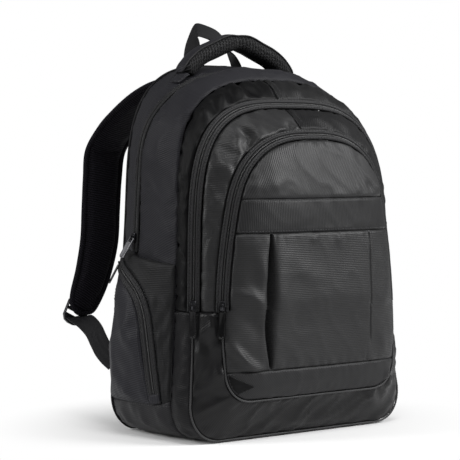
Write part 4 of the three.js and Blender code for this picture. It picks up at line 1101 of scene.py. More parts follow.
@dataclass
class BodyPanels:
    """Gussets, boot and the front of the mid compartment, each lofted between two seams."""

    shop: Workshop
    sewing: Sewing
    step: float = 4.0
    row_step: float = 4.0
    laptop_bulge: tuple[float, float] = (2, 3)
    main_bulge: tuple[float, float] = (4, 8)
    mid_bulge: tuple[float, float] = (4, 4)
    face_bulge: tuple[float, float] = (4, 3)
    stitch_row: int = 4

    def ends(self, rear: Outline, fore: Outline, x: float) -> tuple[float, float]:
        """Return the station places where both seams reach a distance x left of the middle."""
        found = []
        for outline in (rear, fore):
            t = np.linspace(Station.CROWN - 4, Station.CROWN, 4000)
            across = outline.seam.points(outline.s(t))[:, 0]
            found.append(float(np.interp(-x, -across, t)))
        return found[0], found[1]

    def half(self, rear: Outline, start: tuple[float, float], end: tuple[float, float]) -> Points:
        """Return the station places of one side of a band, for its rear and fore seams."""
        middle = Outline(rear.seam)
        shares = (even_places(middle, start[0], end[0], self.step) - start[0]) / (end[0] - start[0])
        return np.stack([lerp(start[0], end[0], shares), lerp(start[1], end[1], shares)])

    def grid(self, rear: Outline, fore: Outline, places: Points, hands: Points, bulge: tuple[float, float],
             rows: Points | None = None, sides: tuple[int, int] = (-1, 1)) -> Points:
        """Return the outer points of a band.

        Args:
            rear: The seam at its back.
            fore: The seam at its front.
            places: Station places on both seams, one column each.
            hands: 1 on the right and -1 on the left, one a column.
            bulge: The swell at the sides and at the top.
            rows: Shares of the way across, or None for even spacing.
            sides: Which edge of each seam's gap the band reaches.

        Returns:
            A grid of points.
        """
        a, b = rear.edge(places[0], sides[0]), fore.edge(places[1], sides[1])
        if rows is None:
            rows = distances(float(np.median(np.linalg.norm(a - b, axis=1))), step=self.row_step)
        k = rows[:, None, None]
        normal = unit(lerp(rear.seam.normals(rear.s(places[0])), fore.seam.normals(fore.s(places[1])), k))
        rise = bulge[0] * normal[..., 0] ** 2 + bulge[1] * np.maximum(normal[..., 2], 0) ** 2
        points = lerp(a, b, k) + normal * (rise * (4 * k * (1 - k))[..., 0])[..., None]
        points[..., 0] *= hands
        return points

    def both_sides(self, rear: Outline, foot: int, middle: int) -> tuple[Points, Points]:
        """Return the places and hands of a band that starts at a foot on the left and ends at one on the right.

        Args:
            rear: The seam at its back.
            foot: The station of both feet.
            middle: The station that it crosses, in the middle of the top or of the sole.

        Returns:
            Station places on both seams, and 1 on the right or -1 on the left, one column each.
        """
        half = self.half(rear, (foot, foot), (middle, middle))
        count = half.shape[1]
        return np.concatenate([half, half[:, -2::-1]], axis=1), np.array([-1.0] * count + [1.0] * (count - 1))

    def split_top(self, rear: Outline, fore: Outline, low: int, hand: int) -> tuple[Points, Points]:
        """Return the places and hands of the part of a top band on one side of the upright seam."""
        offset = -BODY.panel_seam
        meet = self.ends(rear, fore, offset)
        if hand < 0:
            half = self.half(rear, (low, low), meet)
            return half, -np.ones(half.shape[1])
        half = self.half(rear, (low, low), (Station.CROWN, Station.CROWN))
        rest = np.stack([np.linspace(Station.CROWN, meet[i], 6)[1:] for i in range(2)])
        hands = np.concatenate([np.ones(half.shape[1]), -np.ones(rest.shape[1])])
        return np.concatenate([half, rest], axis=1), hands

    def panel(self, node: str, points: Points, relief: Relief, finish: str, slot: str,
              stitched: Sequence[str]) -> None:
        """Make one panel from its outer points, with its relief and its rows of stitches.

        Args:
            node: The node that it stands for.
            points: Its outer points.
            relief: How its cloth lies.
            finish: Its material.
            slot: The record's slot.
            stitched: Sides with a row of stitches: rear, fore, first or last.
        """
        u, v = arc_length(points, 1), arc_length(points, 0)
        u = u - np.median(u[:, -1:] / 2)
        gap = rim_distance(points)
        normal = grid_normals(points, BODY_HEART)
        lift = self.shop.under_pulls(points, relief.height(points, u, v, gap))
        shaped = points + normal * lift[..., None]
        self.shop.dress(self.shop.sheet(f"{node}_cloth", shaped, u, v), finish, slot, [node])
        row = self.stitch_row
        picks = {"rear": (row, slice(None)), "fore": (-1 - row, slice(None)),
                 "first": (slice(None), row), "last": (slice(None), -1 - row)}
        self.sewing.stitches(f"{node}_cloth", shaped, normal, [picks[side] for side in stitched], slot)

    def build(self) -> None:
        """Build every panel."""
        self.gussets()
        self.boot()
        self.mid_gussets()
        self.mid_faces()

    def gussets(self) -> None:
        """Build the laptop gusset and the main gusset."""
        places, hands = self.both_sides(BACK, Station.BOOT_HIGH, Station.CROWN)
        points = self.grid(BACK, LAPTOP, places, hands, self.laptop_bulge)
        relief = Relief(11, pucker=0.7, crease=0.7)
        self.panel("laptop_gusset", points, relief, "gusset_cloth", "smooth", ["fore"])
        places, hands = self.both_sides(LAPTOP, Station.BOOT_HIGH, Station.CROWN)
        points = self.grid(LAPTOP, MAIN, places, hands, self.main_bulge)
        marks = folds((14, 1.6, -127, 39, 387, -147, 33, 338, -157, 24, 289),
                      (10, -1.6, -150, -10, 350, -163, -25, 300),
                      (9, 1.8, -120, -8, 408, -138, -22, 380, -150, -28, 350),
                      (9, 1.6, 120, -8, 408, 140, -22, 380, 152, -28, 350),
                      (12, 1.5, -40, 0, 452, 10, -12, 452, 60, -20, 446),
                      (8, 1.6, -165, -5, 262, -168, -30, 240))
        relief = Relief(21, pucker=0.8, crease=1.2, notch=2.0, notch_side=-1, folds=marks)
        self.panel("main_gusset", points, relief, "gusset_cloth", "smooth", ["rear"])

    def boot(self) -> None:
        """Build the boot, which runs under the body behind the main seam."""
        places, hands = self.both_sides(BACK, Station.BOOT_LOW, 0)
        rear = self.grid(BACK, LAPTOP, places, hands, self.laptop_bulge, np.linspace(0, 1, 14), (-1, 1))
        fore = self.grid(LAPTOP, MAIN, places, hands, self.main_bulge, distances(83, step=self.row_step), (-1, 1))
        points = np.concatenate([rear[:-1], fore[2:]])
        marks = folds((7, 1.8, -174, 23, 27, -178, 36, 44), (6, 2.0, -166, 9, 15, -177, 16, 40),
                      (6, 1.8, -169, -30, 22, -173, -15, 45), (7, 1.6, -160, 50, 12, -174, 60, 30),
                      (7, 1.8, 174, 23, 27, 178, 36, 44), (6, 2.0, 166, 9, 15, 177, 16, 40),
                      (6, 1.8, 169, -30, 22, 173, -15, 45))
        relief = Relief(31, pucker=0.8, crease=0.9, folds=marks)
        shaped = self.flat_sole(points, relief)
        u, v = arc_length(points, 1), arc_length(points, 0)
        piece = self.shop.sheet("boot_cloth", shaped, u - u[:, -1:] / 2, v)
        self.shop.dress(piece, "boot_cloth", "ribbed", ["boot"])
        normal = grid_normals(points, BODY_HEART)
        self.sewing.stitches("boot", shaped, normal, (np.s_[:, 4], np.s_[:, -5]), "ribbed")

    def flat_sole(self, points: Points, relief: Relief) -> Points:
        """Return the points with their relief, and nothing below the floor."""
        u, v = arc_length(points, 1), arc_length(points, 0)
        gap = rim_distance(points)
        normal = grid_normals(points, BODY_HEART)
        shaped = points + normal * relief.height(points, u, v, gap)[..., None]
        shaped[..., 2] = np.maximum(shaped[..., 2], 0.0)
        return shaped

    def mid_gussets(self) -> None:
        """Build the band between the main seam and the mid zip."""
        top_folds = {
            -1: folds((5, 3.6, -96, -38, 427, -97, -58, 408), (5.5, 3.6, -71, -40, 434, -65, -60, 418),
                      (5, 3.4, -124, -40, 406, -126, -58, 388), (5, -2.8, -50, -40, 440, -46, -58, 424),
                      (4.5, -3.0, -112, -40, 418, -113, -58, 398), (4.5, 1.8, -140, -42, 362, -141, -60, 352),
                      (5, 1.5, -150, -42, 325, -150, -60, 318), (4.5, -3.0, -84, -40, 431, -82, -58, 414),
                      (5, 1.4, -156, -44, 280, -157, -62, 274), (5, 1.3, -160, -44, 230, -161, -62, 224)),
            1: folds((6, 1.6, 20, -42, 434, 30, -56, 420), (5, 1.8, 70, -42, 428, 74, -58, 412),
                     (5, 1.8, 105, -42, 412, 112, -58, 396), (5, 1.6, 132, -44, 380, 136, -60, 366)),
        }
        cloths = ((-1, "left", "deep_satin", "satin"), (1, "right", "twill_cloth", "twill"))
        for hand, side, finish, slot in cloths:
            places, hands = self.split_top(MAIN, MID, Station.SPLIT_HIGH, hand)
            points = self.grid(MAIN, MID, places, hands, self.mid_bulge)
            relief = Relief(41 + hand, pucker=1.1, crease=0.9, notch=2.8, notch_side=1, notch_reach=13,
                            folds=top_folds[hand])
            self.panel(f"mid_gusset_{side}", points, relief, finish, slot, ["last"])
        places, hands = self.both_sides(MAIN, Station.SPLIT_LOW, 0)
        points = self.grid(MAIN, MID, places, hands, self.mid_bulge)
        marks = folds((6, 1.2, -170, -50, 120, -168, -62, 100), (6, 1.4, -168, -52, 60, -166, -62, 40),
                      (6, 2.0, -160, -50, 22, -150, -60, 10), (6, 1.8, 160, -50, 22, 150, -60, 10))
        self.panel("mid_gusset_lower", points, Relief(45, pucker=1.0, crease=1.0, folds=marks),
                   "gusset_satin", "satin", ["first", "last"])

    def mid_faces(self) -> None:
        """Build the front of the mid compartment, round the front pocket."""
        marks = {
            -1: folds((5.5, -4.8, -95, -85, 386, -87, -89, 366, -97, -94, 342),
                      (8, 1.8, -74, -86, 387, -74, -95, 355), (6, 2.4, -108, -85, 381, -109, -92, 345),
                      (5, -1.4, -126, -82, 362, -124, -90, 338), (4.5, -3.0, -24, -89, 388, -30, -96, 368),
                      (6, 1.6, -124, -78, 335, -118, -84, 325), (7, 1.4, -138, -80, 290, -130, -86, 285),
                      (7, 1.3, -148, -80, 240, -140, -86, 232)),
            1: folds((6, 2.0, 17, -78, 393, 30, -82, 385, 47, -86, 374), (7, 1.6, 60, -76, 386, 72, -84, 368),
                     (6, 1.6, 100, -76, 360, 106, -86, 345), (7, 1.4, 138, -80, 290, 130, -86, 285)),
        }
        cloths = ((-1, "left", "panel_cloth", "ribbed"), (1, "right", "twill_cloth", "twill"))
        for hand, side, finish, slot in cloths:
            places, hands = self.split_top(MID, FRONT, Station.SPLIT_HIGH, hand)
            points = self.grid(MID, FRONT, places, hands, self.face_bulge)
            relief = Relief(51 + hand, pucker=1.2, crease=1.0, folds=marks[hand])
            self.panel(f"mid_panel_{side}", points, relief, finish, slot, ["last"])
        places, hands = self.both_sides(MID, Station.SPLIT_LOW, 0)
        points = self.grid(MID, FRONT, places, hands, self.face_bulge)
        lower = folds((6, 4.2, -154, -90, 152, -144, -97, 134, -134, -104, 116),
                      (6, -2.6, -158, -83, 130, -150, -90, 108, -149, -92, 84),
                      (7.5, 2.6, -148, -94, 92, -141, -97, 84, -136, -99, 77),
                      (7, -1.8, -150, -90, 70, -140, -95, 55), (7, 2.0, -130, -97, 60, -120, -92, 40),
                      (5, 1.8, -71, -101, 46, -59, -95, 35), (9, 2.0, -110, -96, 38, -60, -90, 22, 0, -90, 24),
                      (9, -1.6, 20, -95, 38, 90, -93, 30, 130, -88, 40), (6, 2.4, 91, -100, 44, 116, -93, 32),
                      (6, 2.0, 130, -98, 62, 142, -92, 50), (7, 1.6, 148, -93, 110, 150, -86, 80),
                      (8, 1.4, -40, -92, 16, 60, -90, 14))
        self.panel("mid_panel_lower", points, Relief(55, pucker=1.2, crease=1.3, folds=lower),
                   "lower_satin", "satin", ["first", "last"])


@dataclass
class FrontPanels:
    """The dome, band, pocket and hem inside the front zip, on one plump form."""

    shop: Workshop
    sewing: Sewing
    bulge: float = 27
    crown_height: float = 190
    hem_top: float = 86
    band_bottom: float = 251
    band_top: float = 292
    pleat: float = -86
    crease: float = 75
    step: float = 3.6
    # The x and z of the patch's outer corner, the middle of its bowed side, its low corner and its tip
    patch_corners: tuple[tuple[float, float], ...] = ((-133.9, 83), (-130.3, 71), (-120.4, 59.6), (-101.5, 68))

    def rim(self) -> Points:
        """Return the edge of the front inside the seam or the zip, from the sole to the crown."""
        return FRONT.edge(rim_places(1500, 500), -1)

    def swell(self, share: Points, z: Points, sole: float, top: float) -> Points:
        """Return how far the front stands out of the plane of its rim."""
        rise = np.where(z > self.crown_height, (z - self.crown_height) / (top - self.crown_height),
                        (self.crown_height - z) / (self.crown_height - sole))
        across = np.maximum(1 - np.abs(share) ** 3.2, 0) ** 0.6
        return self.bulge * across * np.maximum(1 - np.clip(rise, 0, 1) ** 2.6, 0) ** 0.7

    def eased(self, z: Points, rim: Points) -> tuple[Points, Points]:
        """Return the half width and the depth of the rim at heights z, without its step at the zip's foot."""
        levels = z[:, None] + np.linspace(-24, 24, 25)[None]
        weight = np.cos(np.linspace(-24, 24, 25) / 24 * np.pi / 2) ** 2
        half, depth = rim_at(rim, np.clip(levels, rim[0, 2], rim[-1, 2]))
        near_step = smooth(1.5 - np.abs(z - BODY.zip_foot) / 40)
        plain_half, plain_depth = rim_at(rim, z)
        return (lerp(plain_half, (half * weight).sum(1) / weight.sum(), near_step),
                lerp(plain_depth, (depth * weight).sum(1) / weight.sum(), near_step))

    def surface(self, low: float, high: float, fine: Sequence[tuple[float, float]] = ()) -> Points:
        """Return the grid of the front between two heights, with close columns in some ranges of x."""
        rim = self.rim()
        sole, top = rim[0, 2], rim[-1, 2]
        z = lerp(low, high, distances(high - low, step=self.step))
        half, depth = rim_at(rim, z)
        widest = float(half.max())
        share = 2 * distances(2 * widest, step=self.step) - 1
        for start, end in fine:
            keep = (share * widest < start) | (share * widest > end)
            share = np.sort(np.concatenate([share[keep], np.arange(start, end, 0.9) / widest]))
        x = share[None] * half[:, None]
        zz = np.broadcast_to(z[:, None], x.shape)
        soft_half, soft_depth = self.eased(z, rim)
        rimward = np.abs(share[None]) ** 8
        place = lerp(np.clip(x / soft_half[:, None], -1, 1), np.broadcast_to(share[None], x.shape), rimward)
        y = lerp(soft_depth[:, None], depth[:, None], rimward) - self.swell(place, zz, sole, top)
        return np.stack([x, y, zz], -1)

    def panel(self, name: str, low: float, high: float, relief: Relief, finish: str, slot: str,
              dip: Callable[[Points], Points] | None = None, stitched: Sequence[int] = (),
              fine: Sequence[tuple[float, float]] = ()) -> Points:
        """Make one panel of the front and return its outer points."""
        points = self.surface(low, high, fine)
        gap = rim_distance(points)
        u, v = points[..., 0].copy(), points[..., 2].copy()
        lift = relief.height(points, u, v, gap)
        if dip is not None:
            lift = lift + dip(points)
        lift = self.shop.under_pulls(points, lift)
        normal = grid_normals(points, FRONT_HEART)
        shaped = points + normal * lift[..., None]
        piece = self.shop.sheet(f"{name}_cloth", shaped, u, v, centre=FRONT_HEART)
        self.shop.dress(piece, finish, slot, [name])
        self.sewing.stitches(name, shaped, normal, stitched, slot)
        return shaped

    def pocket_dip(self, points: Points) -> Points:
        """Return the relief of the open pleat on the left and the thin crease on the right."""
        x, z = points[..., 0], points[..., 2]
        k = np.clip((z - self.hem_top) / (self.band_bottom - self.hem_top), 0, 1)
        middle = self.pleat + 3.5 * k - 9.0 * np.sin(np.pi * k) * 0.2 + 8 * (1 - k) ** 4
        width = 1.2 + 3.2 * np.sin(np.pi * np.clip(k * 1.05, 0, 1)) ** 0.8
        off = x - middle
        open_v = -13.0 * np.exp(-(off / width) ** 2) * smooth(k / 0.03) * smooth((1 - k) / 0.02)
        lips = 2.6 * np.exp(-((off - 9) / 8) ** 2) + 1.8 * np.exp(-((off + 9) / 8) ** 2)
        lips = lips * np.sin(np.pi * k) ** 0.5
        line = self.crease + 10 * (1 - k) ** 2
        over = x - line
        thin = -2.2 * np.exp(-(over / 1.5) ** 2) * smooth((k - 0.12) / 0.1) * smooth((1 - k) / 0.03)
        step = 1.3 * smooth((-over + 6) / 12) * np.exp(-(over / 20) ** 2) * np.sin(np.pi * k) ** 0.4
        return open_v + lips + thin + step

    def build(self) -> None:
        """Build the panels from the top down."""
        rim = self.rim()
        sole, top, gap = float(rim[0, 2]), float(rim[-1, 2]), BODY.seam_gap / 2
        dome_folds = folds((8, 1.5, -78, -113, 300, -69, -113, 316), (4, 1.8, -98, -102, 298, -92, -104, 312),
                           (4, 2.2, 98, -102, 297, 92, -106, 306), (5, -1.5, 84, -108, 296, 78, -112, 310),
                           (7, 1.0, -50, -118, 298, -44, -118, 306), (6, 1.0, 60, -116, 298, 56, -117, 306))
        self.panel("front_dome", self.band_top + gap, top, Relief(61, pucker=0.8, crease=0.7, folds=dome_folds),
                   "dome_cloth", "twill")
        self.panel("front_band", self.band_bottom + gap, self.band_top - gap,
                   Relief(63, pucker=0.8, pucker_reach=4, crease=0.3), "band_cloth", "ribbed", stitched=(3, -4))
        marks = folds((5.5, 4.8, -134, -107, 124, -113, -114, 99, -95, -116, 80),
                      (5, 1.4, -133, -106, 112, -118, -112, 101, -104, -114, 90),
                      (8, 4.4, -125, -107, 181, -109, -118, 174, -94, -122, 160),
                      (9, -1.4, -128, -110, 156, -106, -117, 142, -90, -119, 122),
                      (4, -1.2, -130, -107, 124, -114, -113, 106, -99, -116, 92),
                      (9, 1.8, -104, -118, 236, -96, -121, 210, -92, -122, 190),
                      (11, 2.4, -62, -124, 232, -66, -127, 180, -60, -120, 112),
                      (12, 1.1, -66, -122, 226, -30, -128, 200, 0, -128, 190),
                      (7, 1.2, -44, -120, 94, -40, -121, 102), (5, 1.6, 20, -124, 246, 22, -126, 238),
                      (4, 1.6, -20, -124, 247, -18, -126, 240),
                      (12, 1.8, 100, -118, 228, 108, -118, 190, 104, -116, 150),
                      (8, 1.6, 96, -116, 130, 110, -112, 100))
        self.panel("front_pocket", self.hem_top + gap, self.band_bottom - gap,
                   Relief(65, pucker=1.1, pucker_reach=6, crease=0.4, folds=marks), "ribbed_cloth", "ribbed",
                   self.pocket_dip, fine=((-97, -70), (70, 90)))
        hem_folds = folds((9, 1.6, -106, -110, 70, -31, -114, 74, 52, -114, 70),
                          (5, -1.2, -120, -104, 74, -110, -108, 60), (5, 1.8, 120, -104, 72, 126, -100, 62))
        hem = self.panel("front_hem", sole, self.hem_top - gap,
                         Relief(67, pucker=0.7, pucker_reach=7, crease=0.4, folds=hem_folds),
                         "hem_cloth", "twill", stitched=(-4,))
        self.back(rim)
        self.patch(hem)

    def back(self, rim: Points) -> None:
        """Build the cloth behind the front pocket."""
        sole, top = float(rim[0, 2]) + 2, float(rim[-1, 2]) - 2
        z = np.linspace(sole, top, 40)
        half, depth = rim_at(rim, z)
        share = np.linspace(-1, 1, 24)
        x = share[None] * (half[:, None] - 2.5)
        points = np.stack([x, np.broadcast_to(depth[:, None] + 3, x.shape),
                           np.broadcast_to(z[:, None], x.shape)], -1)
        wave = gradient_noise(points[..., 0] / 60, points[..., 2] / 60, 71)
        points[..., 1] += 0.5 * wave
        piece = self.shop.sheet("front_pocket_lining", points, points[..., 0], points[..., 2], 1.2,
                                FRONT_HEART)
        self.shop.dress(piece, "lining", "smooth", ["front_pocket_back"])

    def patch(self, hem: Points) -> None:
        """Lay the dark corner patch on the left end of the hem, with its bowed side along the seam."""
        u, v = np.meshgrid(np.linspace(0, 1, 14), np.linspace(0, 1, 14))
        outer, bow, low, tip = self.patch_corners
        edge = [a * (1 - v) * (1 - 2 * v) + b * 4 * v * (1 - v) + c * v * (2 * v - 1)
                for a, b, c in zip(outer, bow, low)]
        x, z = lerp(tip[0], edge[0], u), lerp(tip[1], edge[1], u)
        flat = hem.reshape(-1, 3)
        gaps = (x.reshape(-1, 1) - flat[None, :, 0]) ** 2 + (z.reshape(-1, 1) - flat[None, :, 2]) ** 2
        nearest = np.argsort(gaps, axis=1)[:, :4]
        weight = 1 / (np.take_along_axis(gaps, nearest, 1) + 0.5)
        y = (flat[nearest, 1] * weight).sum(1) / weight.sum(1)
        points = np.stack([x, y.reshape(x.shape) - 1.0, z], -1)
        piece = self.shop.sheet("hem_corner_patch", points, x, z, 0.8, FRONT_HEART)
        self.shop.dress(piece, "deep_satin", "satin")


@dataclass
class ZipBands:
    """The zips round the body: two stitched flaps with a coil between them."""

    shop: Workshop
    sewing: Sewing
    rise: float = 1.7
    bed: float = 0.35
    wall: float = 1.4
    step: float = 3.0
    coil_pitch: float = 1.7
    coil_radius: float = 1.25

    def profile(self) -> Points:
        """Return the flaps' section, as shares across and of the rise."""
        half = [(1.0, -0.75), (0.95, 0.35), (0.84, 0.9), (0.73, 0.95), (0.66, 0.55), (0.6, 0.5), (0.54, 0.62),
                (0.46, 1.0), (0.36, 0.98), (0.28, 0.62), (0.23, 0.15), (0.19, -0.25)]
        return np.array([(-a, b) for a, b in half] + [(a, b) for a, b in reversed(half)])

    def path(self, outline: Outline) -> tuple[Points, Points]:
        """Return the station places and hands of a zip, from the left foot over the top."""
        half = even_places(outline, outline.zip_start, Station.CROWN, self.step)
        return np.concatenate([half, half[-2::-1]]), np.array([-1.0] * len(half) + [1.0] * (len(half) - 1))

    def band(self, name: str, outline: Outline, seed: int) -> None:
        """Build one zip."""
        t, hands = self.path(outline)
        reach = outline.zip_width / 2 - 0.1
        out, spread = outline.out(t), outline.spread(t)
        centre = outline.place(t, np.zeros_like(t))
        length = arc_length(centre, 0)
        rows = []
        for across, rise in self.profile():
            wobble = 0.25 * gradient_noise(length / 9, np.full_like(length, across * 3), seed)
            lift = self.rise * (rise + 0.3 * wobble) + self.bed
            rows.append(centre + spread * (across * reach + 0.4 * wobble)[:, None] + out * lift[:, None])
        points = np.stack(rows)
        normal_out = np.stack([out] * len(rows))
        points[..., 0] *= hands
        normal_out[..., 0] *= hands
        u, v = np.broadcast_to(length, points.shape[:2]), arc_length(points, 0)
        piece = self.shop.sheet(f"{name}_tape", points, v / v[-1:] * 20, u, self.wall)
        self.shop.dress(piece, "zip_tape", "zip_tape", [name])
        self.sewing.stitches(name, points, normal_out, ZIP_THREADS, "zip_tape")
        middle, ups = centre + out * self.bed, out.copy()
        middle[:, 0] *= hands
        ups[:, 0] *= hands
        self.coil(f"{name}_coil", middle, ups)

    def coil(self, name: str, path: Points, ups: Points) -> None:
        """Build the coil of teeth along a path."""
        fine = resample(np.concatenate([path, ups], axis=1), self.coil_pitch / 4)
        line, up = fine[:, :3], unit(fine[:, 3:])
        phase = np.arange(len(line)) * 2 * np.pi / 4
        swell = 0.82 + 0.18 * np.cos(phase)
        radius = np.stack([self.coil_radius * swell * 1.15, self.coil_radius * swell * 0.75], 1)
        self.shop.ringed(name, tube(line, radius, 8, up), np.arange(8.0), "coil_nylon", "zip_tape")

    def build(self) -> None:
        """Build the three zips."""
        self.band("laptop_zip", LAPTOP, 81)
        self.band("mid_zip", MID, 82)
        self.band("front_zip", FRONT, 83)


@dataclass
class SidePockets:
    """The bellows side pockets, each with its own curved zip."""

    shop: Workshop
    panels: BodyPanels
    zips: ZipBands
    sewing: Sewing
    bulge: float = 19.5
    lift: float = 2.1
    zip_width: float = 17
    zip_bottom: float = 40
    zip_top: float = 212
    zip_fore: float = 0.84
    zip_rear: float = 0.05
    zip_lean: float = 0.17
    zip_curve: float = 8
    low: float = 0
    top: float = 0

    def shell(self) -> Points:
        """Return a dense grid of the right pocket's outer face, rows from the back to the front."""
        low, high = Station.BOOT_HIGH, Station.POCKET_LOW
        half = self.panels.half(BACK, (low, low), (high, high))
        ones = np.ones(half.shape[1])
        rear = self.panels.grid(BACK, LAPTOP, half, ones, self.panels.laptop_bulge, np.linspace(0, 1, 40), (-1, 0))
        fore = self.panels.grid(LAPTOP, MAIN, half, ones, self.panels.main_bulge, np.linspace(0, 1, 60), (0, 1))
        base = np.concatenate([rear[:-1], fore])
        k = np.concatenate([np.linspace(0, 1 / 3, 39, endpoint=False), np.linspace(1 / 3, 1, 60)])[:, None]
        rise = np.clip((base[..., 2] - base[:, :1, 2]) / (base[:, -1:, 2] - base[:, :1, 2]), 0, 1)
        form = np.maximum(np.sin(np.pi * k ** 0.6), 0) * np.maximum(np.sin(np.pi * rise), 0) ** 0.5
        normal = LAPTOP.seam.normals(LAPTOP.s(half[1]))[None]
        return base + normal * (self.lift + self.bulge * form)[..., None]

    def zip_line(self, share: Points) -> tuple[Points, Points]:
        """Return the depths and heights of the zip's line at shares of its height."""
        z = lerp(self.zip_bottom, self.zip_top, share)
        hook = self.zip_fore - self.zip_lean - self.zip_rear
        forward = self.zip_fore - self.zip_lean * share - hook * np.maximum(share, 0) ** self.zip_curve
        back = np.array([SEAM_BACK.points(SEAM_BACK.parameter(h))[1] for h in z])
        main = np.array([SEAM_MAIN.points(SEAM_MAIN.parameter(h))[1] for h in z])
        return lerp(back, main, forward), z

    def drop(self, shell: Points, y: Points, z: Points) -> Points:
        """Return the points of the shell at depths y and heights z."""
        heights = shell[len(shell) // 2, :, 2]
        column = np.interp(z, heights, np.arange(len(heights)))
        low = np.clip(np.floor(column).astype(int), 0, len(heights) - 2)
        k = column - low
        rows = lerp(shell[:, low], shell[:, low + 1], k[None, ..., None])
        depth = rows[..., 1]
        flat_depth, flat_x = depth.reshape(len(shell), -1), rows[..., 0].reshape(len(shell), -1)
        x = [np.interp(-value, -flat_depth[:, i], flat_x[:, i]) for i, value in enumerate(y.ravel())]
        return np.stack([np.reshape(x, y.shape), y, z], -1)

    def edges(self, shell: Points, z: Points) -> tuple[Points, Points]:
        """Return the depths of the shell's rear and fore edges at heights z."""
        return (np.interp(z, shell[0, :, 2], shell[0, :, 1]), np.interp(z, shell[-1, :, 2], shell[-1, :, 1]))

    def build(self) -> None:
        """Build both pockets."""
        shell = self.shell()
        share = np.linspace(0, 1, 400)
        line = np.stack(self.zip_line(share), 1)
        way = unit(np.gradient(line, axis=0))
        side = np.stack([way[:, 1], -way[:, 0]], 1)
        reach = self.zip_width / 2
        fore_line, rear_line = line - side * reach, line + side * reach
        self.low, self.top = float(shell[0, :, 2].min()) + 0.4, float(shell[0, :, 2].max()) - 0.8
        fore_low, fore_top = float(shell[-1, :, 2].min()) + 0.2, float(shell[-1, :, 2].max()) - 0.2
        for hand, name in SIDES:
            self.fore(shell, fore_line, hand, name, (fore_low, fore_top))
            self.rear(shell, rear_line, hand, name)
            self.zip(shell, line, side, hand, name)

    def cloth(self, node: str, grid: Points, hand: float, relief: Relief, finish: str, slot: str,
              stitched: Any) -> None:
        """Make one panel of a pocket from the right pocket's outer points, stitched along one column of them."""
        gap = rim_distance(grid)
        normal = grid_normals(grid, POCKET_HEART)
        lift = relief.height(grid * [hand, 1, 1], grid[..., 1], grid[..., 2], gap)
        lift = self.shop.under_pulls(grid * [hand, 1, 1], lift)
        shaped = grid + normal * lift[..., None]
        shaped[..., 0] *= hand
        normal = normal * [hand, 1, 1]
        piece = self.shop.sheet(f"{node}_cloth", shaped, grid[..., 1], grid[..., 2], 1.2, POCKET_HEART)
        self.shop.dress(piece, finish, slot, [node])
        self.sewing.stitches(f"{node}_cloth", shaped, normal, [stitched], slot)

    def fore(self, shell: Points, line: Points, hand: float, side: str, levels: tuple[float, float]) -> None:
        """Build the part of a pocket before its zip."""
        rows = distances(levels[1] - levels[0], step=4)[:, None]
        rear_z = lerp(self.low, self.top, rows)
        fore_z = lerp(levels[0], levels[1], rows)
        rear_edge, _ = self.edges(shell, rear_z)
        _, fore_edge = self.edges(shell, fore_z)
        start = np.interp(rear_z, line[:, 1], line[:, 0], right=1e3)
        start = np.minimum(start, rear_edge)
        k = distances(110, step=4)[None]
        grid = self.drop(shell, lerp(start, fore_edge, k), lerp(rear_z, fore_z, k))
        marks = folds((6, 1.6, -172, -20, 175, -170, -33, 160), (7, 1.4, -174, -10, 130, -171, -30, 120),
                      (7, 1.4, -168, 20, 215, -170, -10, 205), (5, 1.2, -178, -20, 90, -174, -33, 84))
        self.cloth(f"side_pocket_front_{side}", grid, hand, Relief(91, pucker=0.9, crease=0.9, folds=marks),
                   "pocket_front_cloth", "ribbed", np.s_[:, 4])

    def rear(self, shell: Points, line: Points, hand: float, side: str) -> None:
        """Build the part of a pocket behind its zip."""
        rear_at = np.interp(line[:, 1], shell[0, :, 2], shell[0, :, 1])
        inside = line[:, 0] < rear_at - 2.0
        top = float(line[inside, 1].max())
        z = lerp(self.low, top, distances(top - self.low, step=4))
        rear_edge, _ = self.edges(shell, z)
        end = np.interp(z, line[:, 1], line[:, 0])
        k = distances(90, step=4)
        y = lerp(rear_edge[:, None], end[:, None], k[None])
        grid = self.drop(shell, y, np.broadcast_to(z[:, None], y.shape).copy())
        marks = folds((12, 2.6, -187, 40, 150, -186, 10, 110, -182, -10, 80),
                      (9, -1.8, -186, 50, 90, -182, 20, 55), (6, 2.0, -186, 43, 69, -181, 19, 50),
                      (9, 1.6, -180, 60, 180, -188, 45, 160))
        self.cloth(f"side_pocket_rear_{side}", grid, hand, Relief(93, pucker=0.9, crease=1.3, folds=marks),
                   "pocket_cloth", "smooth", np.s_[:, -5])

